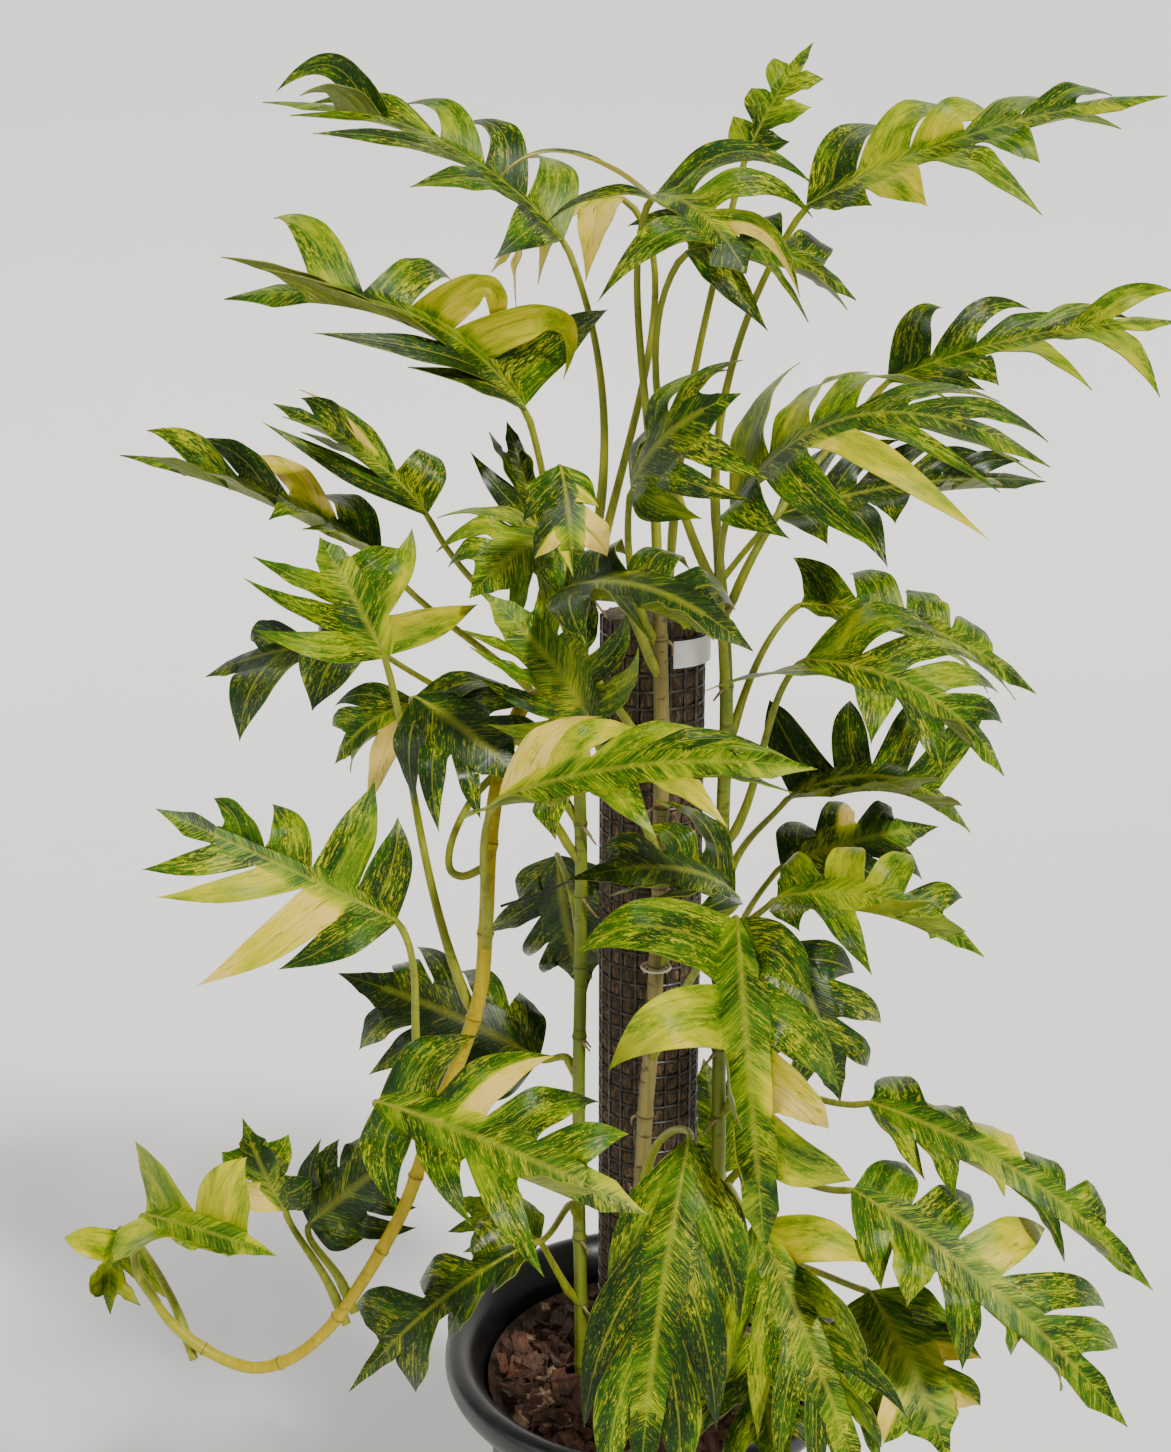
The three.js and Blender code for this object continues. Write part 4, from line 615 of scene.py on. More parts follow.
# Materials
class Shader:
    """A material's node tree with short calls for the nodes used here."""

    def __init__(self, name, roughness, shine=0.5):
        self.material = bpy.data.materials.new(name)
        self.material.use_nodes = True
        self.tree = self.material.node_tree
        self.bsdf = self.tree.nodes["Principled BSDF"]
        self.feed(self.bsdf, {"Roughness": roughness, "Specular IOR Level": shine})

    def feed(self, node, values):
        """Links or sets inputs by name or number. Three numbers on a colour input make it opaque."""
        for key, value in values.items():
            socket = node.inputs[key]
            if hasattr(value, "is_linked"):
                self.tree.links.new(value, socket)
            else:
                socket.default_value = (*value, 1) if socket.type == "RGBA" else value
        return node

    def node(self, kind, values, **settings):
        made = self.tree.nodes.new("ShaderNode" + kind)
        for key, value in settings.items():
            setattr(made, key, value)
        return self.feed(made, values)

    def place(self):
        return self.node("TexCoord", {}).outputs["Object"]

    def tone(self):
        """The three numbers that each point carries."""
        made = self.node("Attribute", {}, attribute_name="tone")
        return self.node("SeparateColor", {"Color": made.outputs["Color"]}).outputs[:3]

    def maths(self, operation, a, b, c=0.0):
        return self.node("Math", {0: a, 1: b, 2: c}, operation=operation).outputs[0]

    def sway(self, noise, reach, middle):
        """The middle value, moved either way by a noise."""
        return self.maths("MULTIPLY_ADD", self.maths("SUBTRACT", noise, 0.5), reach, middle)

    def noise(self, vector, scale, detail, roughness=0.5, distortion=0.0, shift=(0, 0, 0)):
        """A noise over a coordinate. Three scales stretch it."""
        if isinstance(scale, tuple):
            made = self.node("Mapping", {"Vector": vector, "Scale": scale, "Location": shift})
            vector, scale = made.outputs["Vector"], 1.0
        values = {"Vector": vector, "Scale": scale, "Detail": detail, "Roughness": roughness,
                  "Distortion": distortion}
        return self.node("TexNoise", values).outputs["Fac"]

    def ramp(self, amount, *stops):
        made = self.node("ValToRGB", {"Fac": amount})
        elements = made.color_ramp.elements
        while len(elements) < len(stops):
            elements.new(0.5)
        for element, (place, color) in zip(elements, stops):
            element.position = place
            element.color = (*color, 1)
        return made.outputs["Color"]

    def fade(self, amount, *stops):
        """A ramp of greys, to mask with."""
        return self.ramp(amount, *[(place, (grey, grey, grey)) for place, grey in stops])

    def mix(self, amount, a, b, kind="MIX"):
        made = self.node("Mix", {}, data_type="RGBA", blend_type=kind)
        return self.feed(made, {0: amount, 6: a, 7: b}).outputs[2]

    def both(self, a, b):
        return self.mix(1.0, a, b, "MULTIPLY")

    def done(self, color, height, strength, depth):
        """The material with its base colour and its relief."""
        relief = self.node("Bump", {"Strength": strength, "Distance": depth, "Height": height})
        self.feed(self.bsdf, {"Base Color": color, "Normal": relief.outputs["Normal"]})
        return self.material


def leaf_material(name, gloss=0.4, shine=0.16):
    """Flecks and streaks that run along the side veins, over a base that the tone carries.

    Tone: red is how pale the tissue is, green the place across the lobe, blue the underside."""
    shader = Shader(name, gloss, shine)
    mix, fade, both = shader.mix, shader.fade, shader.both
    uv = shader.node("UVMap", {}, uv_map="vein").outputs["UV"]
    pale, across, under = shader.tone()
    patch = shader.noise(uv, (16, 44, 1), 5, 0.6, 0.8, (3.1, 7.7, 0))
    streak = shader.noise(uv, (32, 340, 1), 5, 0.65, 1.2)
    fleck = shader.noise(uv, (130, 700, 1), 4, 0.65, 1.2, (9.3, 2.2, 0))
    crowd = shader.noise(uv, (22, 40, 1), 2, shift=(1.4, 5.5, 0))
    fine = shader.noise(uv, (260, 1500, 1), 2, 0.5, 0.8, (2.7, 8.1, 0))
    veins = shader.noise(uv, (20, 640, 1), 2)
    amount = shader.sway(streak, 0.42, shader.sway(patch, 1.2, pale))
    green_side = fade(amount, (0.25, 0), (0.4, 1), (0.7, 1), (0.8, 0))
    not_pale = fade(amount, (0.1, 0.35), (0.3, 1), (0.7, 1), (0.85, 0))
    pale_side = fade(amount, (0.6, 0), (0.75, 1))
    color = shader.ramp(amount, *GREEN_STOPS)
    for mask, layer in (
        (both(fade(streak, (0.54, 0), (0.62, 0.7)), green_side), STREAK),
        (both(fade(shader.sway(crowd, 0.4, fleck), (0.57, 0), (0.63, 0.85)), not_pale), FLECK),
        (both(fade(fine, (0.62, 0), (0.67, 0.6)), not_pale), FLECK),
        (both(fade(streak, (0.36, 0.8), (0.43, 0)), pale_side), GREEN_STREAK),
        (fade(across, (0, 0.5), (0.03, 0.35), (0.07, 0)), RIB),
        (fade(across, (0, 0), (0.96, 0), (1, 0.5)), RIM),
    ):
        color = mix(mask, color, layer)
    color = mix(under, color, mix(0.45, color, UNDERSIDE))
    shader.feed(shader.bsdf, {"Roughness": shader.maths("MULTIPLY_ADD", veins, 0.16, gloss - 0.06)})
    return shader.done(color, shader.maths("MULTIPLY_ADD", patch, 0.8, veins), 0.3, 0.001)


def stalk_material(name, low, high, dark, ring=0.5, far_left=None):
    """Stem or petiole skin: long fine streaks, darker rings and small scars; far_left tints its left end."""
    shader = Shader(name, 0.46, 0.25)
    place = shader.place()
    long_streak = shader.noise(place, (260, 260, 12), 4, 0.6)
    scar = shader.noise(place, (90, 90, 240), 2)
    color = shader.mix(shader.noise(place, 38, 3), low, high)
    color = shader.mix(shader.fade(long_streak, (0.42, 0), (0.62, 1)), color, high)
    color = shader.mix(shader.fade(scar, (0.6, 0), (0.68, ring)), color, dark)
    if far_left:
        x = shader.node("SeparateXYZ", {"Vector": place}).outputs["X"]
        leftward = shader.maths("MULTIPLY_ADD", x, -7.0, -1.6)
        color = shader.mix(shader.fade(leftward, (0, 0), (1, 0.8)), color, far_left)
    color = shader.mix(shader.tone()[0], color, dark)
    return shader.done(color, shader.maths("ADD", long_streak, scar), 0.3, 0.0008)


def pot_material():
    shader = Shader("pot_black_plastic", 0.34)
    place = shader.place()
    dust = shader.noise(place, 55, 5, 0.65)
    scuff = shader.noise(place, (30, 30, 190), 4, 0.6)
    color = shader.mix(shader.fade(dust, (0.45, 0), (0.8, 0.7)), (0.005, 0.005, 0.006), (0.018, 0.017, 0.016))
    color = shader.mix(shader.fade(scuff, (0.62, 0), (0.75, 0.4)), color, (0.055, 0.053, 0.05))
    shader.feed(shader.bsdf, {"Roughness": shader.maths("MULTIPLY_ADD", dust, 0.3, 0.2)})
    grain = shader.noise(place, 900, 2)
    return shader.done(color, shader.maths("MULTIPLY_ADD", grain, 0.4, scuff), 0.12, 0.0006)


def bark_material(name, low, high, dark):
    shader = Shader(name, 0.86)
    place = shader.place()
    fibre = shader.noise(place, (420, 120, 260), 4, 0.65)
    color = shader.ramp(shader.noise(place, 42, 4, 0.6), (0.3, dark), (0.46, low), (0.62, high), (0.8, low))
    color = shader.mix(shader.fade(fibre, (0.4, 0.75), (0.58, 0)), color, dark)
    return shader.done(color, fibre, 0.6, 0.002)


def coir_material():
    shader = Shader("pole_coir", 0.92)
    place = shader.place()
    fibre = shader.noise(place, (480, 480, 90), 5, 0.7, 0.8)
    color = shader.ramp(
        fibre, (0.3, (0.012, 0.007, 0.004)), (0.52, (0.09, 0.055, 0.028)), (0.7, (0.34, 0.23, 0.11)))
    damp = shader.fade(shader.noise(place, 70, 3), (0.45, 0), (0.7, 0.6))
    color = shader.mix(damp, color, (0.03, 0.018, 0.01))
    return shader.done(color, fibre, 0.9, 0.003)


def net_material():
    shader = Shader("pole_net_plastic", 0.45)
    dust = shader.noise(shader.place(), 160, 4, 0.6)
    color = shader.mix(shader.fade(dust, (0.42, 0), (0.7, 1)), (0.014, 0.013, 0.012), (0.12, 0.09, 0.055))
    return shader.done(color, dust, 0.2, 0.0006)


def card_material():
    shader = Shader("label_white_plastic", 0.4)
    place = shader.place()
    dirt = shader.fade(shader.noise(place, 120, 4, 0.6), (0.5, 0), (0.8, 0.5))
    color = shader.mix(dirt, (0.82, 0.81, 0.76), (0.6, 0.56, 0.47))
    return shader.done(color, shader.noise(place, (200, 200, 900), 2), 0.08, 0.0004)


def cord_material(name, low, high):
    shader = Shader(name, 0.6)
    twist = shader.noise(shader.place(), (700, 700, 700), 3, 0.6)
    return shader.done(shader.mix(twist, low, high), twist, 0.4, 0.0005)


def floor_material():
    shader = Shader("floor_pale", 0.7)
    cloud = shader.noise(shader.place(), 3, 2, 0.55)
    shader.feed(shader.bsdf, {"Base Color": shader.mix(cloud, (0.86, 0.86, 0.85), (0.9, 0.9, 0.89))})
    return shader.material


MATERIALS = {
    "leaf_green": leaf_material("leaf_green_streaked"),
    "leaf_deep": leaf_material("leaf_deep_gloss", 0.32, 0.28),
    "leaf_lime": leaf_material("leaf_lime_streaked"),
    "leaf_cream": leaf_material("leaf_cream_streaked"),
    "leaf_olive": leaf_material("leaf_olive_aged", 0.46),
    "petiole": stalk_material(
        "petiole_green", (0.1, 0.14, 0.006), (0.27, 0.28, 0.02), (0.05, 0.06, 0.008), 0.3),
    # The front stem's tan is its own colour, darkened as a whole to the brownish tone it shows in the shade
    # of the leaves: partly its own tan, partly painted shade
    "stem_tan": stalk_material(
        "stem_tan", (0.1, 0.08, 0.02), (0.22, 0.18, 0.05), (0.05, 0.03, 0.012), 0.8),
    "stem_green": stalk_material(
        "stem_green", (0.08, 0.12, 0.01), (0.2, 0.24, 0.02), (0.07, 0.06, 0.012), 0.6),
    "stem_golden": stalk_material(
        "stem_golden", (0.27, 0.2, 0.002), (0.46, 0.34, 0.003), (0.14, 0.08, 0.006), 0.4, (0.2, 0.28, 0.01)),
    "root": stalk_material("aerial_root", (0.16, 0.1, 0.04), (0.3, 0.22, 0.1), (0.05, 0.03, 0.015), 0.6),
}


# The pot
def wall_radius(z):
    return POT_BASE_RADIUS + (POT_WALL_TOP_RADIUS - POT_BASE_RADIUS) * z / POT_WALL_TOP


def smooth_profile(points):
    """Corners cut twice, so that a moulded section has no sharp edge."""
    line = [np.array(p, float) for p in points]
    for _ in range(2):
        cut = [line[0]]
        for a, b in zip(line, line[1:]):
            cut += [a * 0.75 + b * 0.25, a * 0.25 + b * 0.75]
        line = cut + [line[-1]]
    return line


def make_pot():
    lip_foot = POT_HEIGHT - POT_LIP_DEPTH
    profile = [(0, 0), (POT_BASE_RADIUS - 3, 0), (POT_BASE_RADIUS, 4)]
    profile += [(wall_radius(z) - 0.6 * (n % 2), z) for n, z in enumerate(range(40, 230, 24))]
    profile += [
        (POT_WALL_TOP_RADIUS, POT_WALL_TOP), (POT_LIP_RADIUS - 6, lip_foot - 2),
        (POT_LIP_RADIUS, lip_foot + 6), (POT_LIP_RADIUS, lip_foot + 14),
        (POT_LIP_RADIUS - 2, POT_HEIGHT - 3), (POT_LIP_RADIUS - 9, POT_HEIGHT),
        (POT_MOUTH_RADIUS + 2, POT_HEIGHT - 3), (POT_MOUTH_RADIUS - 5, POT_HEIGHT - 10),
        (wall_radius(POT_WALL_TOP) - POT_WALL, POT_WALL_TOP),
        (wall_radius(POT_WALL * 2) - POT_WALL, POT_WALL * 2), (0, POT_WALL * 2)]
    build = Build()
    rings = []
    for radius, z in smooth_profile(profile):
        if radius < 1e-6:
            rings.append([build.point(UP * z)] * POT_FACETS)
        else:
            rings.append([build.point(around(angle, radius, z)) for angle in full_turn(POT_FACETS)])
    build.loft(rings)
    build.piece("pot_body", [pot_material()], "pot", "pot_plastic", 40)


# Bark mix: a rough bed with loose chips and a few fibres
def lump(build, centre, size, turn, draw, slot):
    """A chip with uneven corners."""
    corners = [build.point(centre + turn @ (np.array(signs) * size / 2 * (0.72 + 0.5 * draw())))
               for signs in itertools.product((-1, 1), repeat=3)]
    for face in ((0, 1, 3, 2), (4, 6, 7, 5), (0, 4, 5, 1), (2, 3, 7, 6), (0, 2, 6, 4), (1, 5, 7, 3)):
        build.face([corners[k] for k in face], slot)


def keep_clear(x, y):
    """How far a spot on the mix is from the pole and the stems' feet."""
    gap = math.hypot(x, y) - POLE_RADIUS - POLE_BULGE
    for radius, _, _, points in STEMS.values():
        if points[0][2] < MIX_TOP:
            gap = min(gap, math.hypot(x - points[0][0], y - points[0][1]) - radius)
    return gap


def make_bed(build, draw, inner, outer):
    """The bed of mix as a closed ring round the pole, rough on top."""
    rings = []
    for n in range(MIX_RINGS + 1):
        radius = inner + (outer - inner) * n / MIX_RINGS
        rings.append([
            build.point(around(angle, radius, MIX_TOP - 3 + ((draw() - 0.5) * 5 if n < MIX_RINGS else 0)))
            for angle in full_turn(MIX_FACETS)])
    foot = wall_radius(MIX_FOOT) - POT_WALL - 0.6
    for radius, z in ((outer, MIX_TOP - 30), (foot, MIX_FOOT), (inner, MIX_FOOT)):
        rings.append([build.point(around(angle, radius, z)) for angle in full_turn(MIX_FACETS)])
    build.loft(rings, closed=True)


def make_mix():
    build = Build()
    draw = Draw(501)
    outer = wall_radius(POT_WALL_TOP) - POT_WALL - 0.6
    make_bed(build, draw, POLE_RADIUS - 3, outer)
    made = 0
    while made < CHIP_TOTAL:
        angle, spread = draw() * 2 * math.pi, math.sqrt(draw())
        x, y, _ = around(angle, 38 + (outer - 50) * spread)
        size = np.array([between((7, 26), draw() ** 2), between((4, 13), draw()), between((2, 6), draw())])
        turn = Euler(((draw() - 0.5) * 1.3, (draw() - 0.5) * 1.3, draw() * math.pi)).to_matrix()
        height, kind = draw(), draw()
        if keep_clear(x, y) < 3 + size[1] * 0.3:
            continue
        centre = np.array([x, y, MIX_TOP - 2 + 4.5 * height])
        lump(build, centre, size, np.array(turn), draw, 1 if kind < 0.55 else 2 if kind < 0.93 else 3)
        made += 1
    for _ in range(FIBRE_TOTAL):
        angle, spread = draw() * 2 * math.pi, draw()
        middle = around(angle, 44 + (outer - 58) * spread, MIX_TOP + 1)
        heading, length = draw() * 2 * math.pi, between((10, 34), draw())
        line = []
        for n in range(6):
            bow = math.sin(n / 5 * math.pi) * 4 * draw()
            line.append(middle + around(heading, length) * (n / 5 - 0.5) + UP * bow)
        build.tube(line, [0.45] * 6, 4, 2)
    materials = [
        bark_material("mix_bed", (0.06, 0.028, 0.016), (0.1, 0.05, 0.028), (0.012, 0.007, 0.004)),
        bark_material("bark_red", (0.1, 0.038, 0.019), (0.19, 0.08, 0.04), (0.04, 0.016, 0.01)),
        bark_material("bark_brown", (0.07, 0.034, 0.02), (0.14, 0.075, 0.044), (0.03, 0.015, 0.009)),
        bark_material("bark_tan", (0.3, 0.19, 0.11), (0.46, 0.32, 0.2), (0.12, 0.06, 0.03)),
    ]
    build.piece("bark_mix_bed", materials, "potting_mix", "bark_mix", 30)


# The pole: pillowed coir between the strands of a square net
def make_pole():
    build = Build()
    draw = Draw(77)
    rows = NET_ROWS * NET_FINE
    rise = (POLE_TOP - 1 - POLE_FOOT) / rows
    rings = []
    for row in range(rows + 1):
        ring = []
        for column, angle in enumerate(full_turn(NET_COLUMNS * NET_FINE)):
            across, along = column % NET_FINE / NET_FINE, row % NET_FINE / NET_FINE
            pillow = (math.sin(math.pi * across) * math.sin(math.pi * along)) ** 0.6
            radius = POLE_RADIUS - 1.2 + POLE_BULGE * 1.1 * pillow + (draw() - 0.5) * 0.9
            ring.append(build.point(around(angle, radius, POLE_FOOT + 0.5 + row * rise)))
        rings.append(ring)
    build.loft(rings)
    radius = POLE_RADIUS + 0.25
    for angle in full_turn(NET_COLUMNS):
        line = [around(angle + (draw() - 0.5) * 0.012, radius, POLE_FOOT + 0.6 + row * rise * NET_FINE / 2)
                for row in range(NET_ROWS * 2 + 1)]
        build.tube(line, [STRAND] * len(line), 5, 1)
    for row in range(1, NET_ROWS):
        z = POLE_FOOT + 0.5 + row * rise * NET_FINE
        build.hoop([around(angle, radius, z + (draw() - 0.5) * 0.5) for angle in full_turn(60)], STRAND, 5, 1)
    build.piece("moss_pole_net", [coir_material(), net_material()], "moss_pole", "pole_coir", 60)


# Label and ties
def make_label():
    build = Build()
    outer, top = LABEL_RADIUS + LABEL_THICKNESS, LABEL_BOTTOM + LABEL_HEIGHT
    section = ((LABEL_RADIUS, LABEL_BOTTOM), (outer, LABEL_BOTTOM), (outer, top), (LABEL_RADIUS, top))
    steps = 36
    rings = []
    for k in range(steps + 1):
        angle = LABEL_FROM + LABEL_SWEEP * k / steps
        rings.append([build.point(around(angle, radius, z)) for radius, z in section])
    build.loft(rings[::-1])
    build.piece("label_strip", [card_material()], "label", "label_card", 40)


def make_ties():
    build = Build()
    run = smooth_run(TIE_PATH)
    build.tube([run.at(k / 24) for k in range(25)], [TIE_RADIUS] * 25, 8)
    dark = cord_material("tie_dark", (0.012, 0.012, 0.01), (0.05, 0.05, 0.04))
    build.piece("tie_upper_cord", [dark], "tie_upper", "tie_cord")
    build = Build()
    centres = [np.array(TIE_LOOP_CENTRE) + around(angle, TIE_LOOP_RADIUS) for angle in full_turn(40)]
    build.hoop(centres, TIE_RADIUS, 8)
    pale = cord_material("tie_pale", (0.6, 0.56, 0.36), (0.75, 0.7, 0.5))
    build.piece("tie_lower_cord", [pale], "tie_lower", "tie_pale_cord")


# Stems
def ring_radii(name, share, run, nodes):
    """Radius at each corner of a stem's ring: swollen at the nodes, drawn in at the end, a little ribbed."""
    swell = 1.0
    for n in range(1, nodes):
        gap = (share - n / nodes) * run.length
        swell = max(swell, 1 + (NODE_SWELL - 1) * math.exp(-(gap / 2.6) ** 2))
    ending = (1 - share) * run.length / (NODE_SPACING * 0.9)
    if ending < 1:
        swell = STEM_END + (swell - STEM_END) * max(ending, 0) ** 0.8
    radius = stem_radius(name, share) * swell
    return [radius * (0.965 + 0.03 * math.cos(angle * 3 + share * 40)) for angle in full_turn(STEM_SIDES)]


def add_roots(build, draw, centre, radius):
    """Up to two short aerial roots that bend from a node to the pole."""
    inward = unit(np.array([-centre[0], -centre[1], 0]) + 1e-6)
    tangent = np.cross(UP, inward)
    for hand in (-1, 1):
        if draw() < 0.3 or centre[2] < MIX_TOP + 10:
            continue
        reach = between((10, 20), draw())
        start = centre + tangent * hand * radius * 0.7
        root = smooth_run([
            start, start + tangent * hand * reach * 0.25 + inward * reach * 0.15 - UP * reach * 0.2,
            start + tangent * hand * reach * 0.3 + inward * reach * 0.5 - UP * reach * 0.7], 6)
        build.tube([root.at(t / 7) for t in range(8)], [1.3 - 0.09 * t for t in range(8)], 6, 1)


def add_loop(build, run):
    """A root that leaves the stem and comes back to it lower down."""
    marks = [k / 400 for k in range(401)]
    start, end = [run.at(min(marks, key=lambda mark: abs(run.at(mark)[2] - z))) for z in LOOP_HEIGHTS]
    line = [start]
    for k in range(1, 6):
        t = k / 6
        line.append(start + (end - start) * (t + 0.22 * math.sin(math.pi * t) * (2 * t - 0.4))
                    + np.array(LOOP_BULGE) * math.sin(math.pi * t) ** 0.8)
    loop = smooth_run(line + [end], 6)
    steps = [k / 36 for k in range(37)]
    build.tube([loop.at(t) for t in steps], [LOOP_RADIUS - 0.3 * math.sin(math.pi * t) for t in steps], 8, 1)


def make_stem(name, index):
    build = Build()
    draw = Draw(900 + index)
    run = STEM_RUNS[name]
    nodes = round(run.length / NODE_SPACING)
    steps = int(run.length / 2.2)
    shares = [k / steps for k in range(steps + 1)]
    build.tube([run.at(share) for share in shares], [ring_radii(name, share, run, nodes) for share in shares],
               STEM_SIDES)
    for n in range(1, nodes):
        share = n / nodes
        centre, ahead = run.at(share), run.ahead(share)
        radius = stem_radius(name, share)
        ring = [centre - ahead * 0.5, centre + ahead * 0.5]
        build.tube(ring, [radius * NODE_SWELL * 0.995] * 2, STEM_SIDES, tone=(0.75, 0, 0))
        if name != "arching":
            add_roots(build, draw, centre, radius)
    if name == "arching":
        add_loop(build, run)
    slot_name = STEMS[name][2]
    root_skin = MATERIALS["petiole" if name == "arching" else "root"]
    build.piece("stem_" + name + "_skin", [MATERIALS[slot_name], root_skin], "stem_" + name, slot_name, 60)


# The form of a leaf, which repeats the solids'
def petiole_foot(leaf):
    """The way out from the stem, the petiole's foot, its first direction and its root in the stem."""
    run = STEM_RUNS[leaf.stem]
    centre = run.at(leaf.share)
    out = unit(np.array([leaf.base[0] - centre[0], leaf.base[1] - centre[1], 0]))
    if leaf.share == 1:
        ahead = run.ahead(1)
        return out, centre + ahead * (HEEL + PETIOLE_GAP), ahead, centre - ahead * SOCKET_BACK
    radius = stem_radius(leaf.stem, leaf.share)
    point = centre + out * (radius * NODE_SWELL + PETIOLE_FOOT_RADIUS + PETIOLE_GAP)
    return out, point, out * PETIOLE_LEAN + UP * PETIOLE_CLIMB, centre - UP * SOCKET_DOWN


def turn_matrix(out, swing, lift):
    """Lifts a leaf about its foot, then swings it round."""
    lift_axis = unit(np.cross(out, UP))
    return np.array([turned_about(turned_about(v, lift_axis, lift), UP, swing) for v in np.eye(3)]).T


def web_at(leaf, s):
    """Half width of the uncut band beside the midrib."""
    return leaf.web * (1 - WEB_FALL * s)


def leaf_form(leaf, swing, lift):
    """The leaf's midrib, petiole path and lobes once it is turned about its foot."""
    draw = Draw(leaf.seed)
    out, foot, leave, socket = petiole_foot(leaf)
    turn = turn_matrix(out, swing, lift)
    base = foot + turn @ (leaf.base - foot)
    tip = foot + turn @ (leaf.tip - foot)
    face = turn @ leaf.face
    rise = square_to(face, unit(tip - base)) * leaf.arch * 2
    midrib = [base, (base + tip) / 2 + rise, tip]

    def frame_at(s):
        ahead = bezier_ahead(midrib, s)
        normal = square_to(face, ahead)
        return bezier(midrib, s), ahead, normal, np.cross(ahead, normal)

    lobes = []
    for hand, j in itertools.product((-1, 1), range(leaf.lobes)):
        u = (j + 0.5) / leaf.lobes
        shares = [between((BLADE_START, BLADE_END), k / leaf.lobes) for k in (j, j + 1)]
        ends = []
        for k, s in zip((j, j + 1), shares):
            point, _, _, side = frame_at(s)
            ends.append(point + side * hand * (web_at(leaf, s) if k else PETIOLE_END_RADIUS))
        _, ahead, normal, side = frame_at(between((BLADE_START, BLADE_END), u))
        angle = (LOBE_ANGLE - LOBE_ANGLE_FALL * u + (draw() - 0.5) * LOBE_ANGLE_SPREAD) * DEGREE
        droop = leaf.droop * between(DROOP_RANGE, draw()) * DEGREE
        twist = (draw() - 0.5) * LOBE_TWIST_SPREAD
        outline = math.sin(math.pi * (OUTLINE_START + OUTLINE_RUN * u))
        length = leaf.width * outline * between(LENGTH_RANGE, draw())
        root = (ends[0] + ends[1]) / 2
        if leaf.name in LOBE_ENDS:
            x, y, z, bow, twist = (*LOBE_ENDS[leaf.name][hand > 0][j], 0)[:5]
            end = foot + turn @ ([x, y, z] - foot)
        else:
            down = leaf.fold * DEGREE + droop
            flat = ahead * math.cos(angle) + side * hand * math.sin(angle)
            end = root + flat * length * math.cos(down) - normal * length * math.sin(down)
            bow = length * (BOW_BASE + math.sin(droop) * BOW_GAIN)
        chord = np.linalg.norm(end - root)
        bend = root + (end - root) * BEND_AT + normal * bow * 2 + side * hand * chord * SPREAD
        lobes.append(SimpleNamespace(
            hand=hand, index=j, shares=shares, curve=[root, bend, end], bow=bow, twist=twist * DEGREE,
            ahead=ahead, length=chord + bow, spacing=np.linalg.norm(ends[1] - ends[0]) * 0.5))
    start, ahead, _, _ = frame_at(BLADE_START)
    reach = np.linalg.norm(base - foot)
    path = [foot, foot + leave * reach * PETIOLE_LEAVE,
            start - ahead * reach * PETIOLE_ARRIVE - UP * reach * PETIOLE_RISE, start]
    return SimpleNamespace(midrib=midrib, frame_at=frame_at, lobes=lobes, path=path, socket=socket)


def strap_width(t):
    """Half width of a lobe along its length, as a share of its root: full, then drawn to a point."""
    x = min(max((t - STRAP_FULL) / (1 - STRAP_FULL), 0), 1)
    return STRAP_WIDTH * (1 - x) ** STRAP_POINT * (1 + STRAP_BELLY * x)


def lobe_line(lobe, stations):
    """Centre, upper face, edge direction, half width and share at each station out along a lobe."""
    rows = []
    edge = lobe.ahead
    for t in stations:
        run = bezier_ahead(lobe.curve, t)
        edge = square_to(edge, run)
        upper = np.cross(run, edge) * lobe.hand
        lean = lobe.twist * t
        leaned = edge * math.cos(lean) + upper * math.sin(lean)
        slant = max(np.linalg.norm(np.cross(run, lobe.ahead)), LEAST_LOBE_SHARE)
        reach = lobe.spacing * slant * strap_width(t)
        rows.append((bezier(lobe.curve, t), np.cross(run, leaned) * lobe.hand, leaned, reach, t))
    return rows


def find_turn(leaf):
    """The swing and lift that the solid leaf took, told by its box."""
    low, high = [np.array(corner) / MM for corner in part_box("leaf_" + leaf.name)]
    form = leaf_form(leaf, 0, 0)
    spots = [form.frame_at(s)[0] for s in (BLADE_START, 0.25, 0.5, 0.75, 1)]
    for lobe in form.lobes:
        stations = CURLED_STATIONS if lobe.bow > CURLED_BOW else PLAIN_STATIONS
        for centre, _, edge, reach, _ in lobe_line(lobe, (0, *stations))[1:]:
            spots += [centre - edge * reach, centre + edge * reach]
        spots.append(lobe.curve[2])
    out, foot, leave, _ = petiole_foot(leaf)
    spots = np.array(spots) - foot
    start_ahead = form.frame_at(BLADE_START)[1]
    reach = np.linalg.norm(leaf.base - foot)

    def miss(swing_lift):
        """How far the box of the turned leaf is from the solid's."""
        matrix = turn_matrix(out, *swing_lift)
        here = spots @ matrix.T + foot
        arrive = here[0] - matrix @ start_ahead * reach * PETIOLE_ARRIVE - UP * reach * PETIOLE_RISE
        path = [foot, foot + leave * reach * PETIOLE_LEAVE, arrive, here[0]]
        here = np.vstack([here, [foot, *[bezier(path, t) for t in (0.25, 0.5, 0.75)]]])
        return np.abs(here.min(0) - low).sum() + np.abs(here.max(0) - high).sum()

    return min(itertools.product(SWING_STEPS, LIFT_STEPS), key=miss)


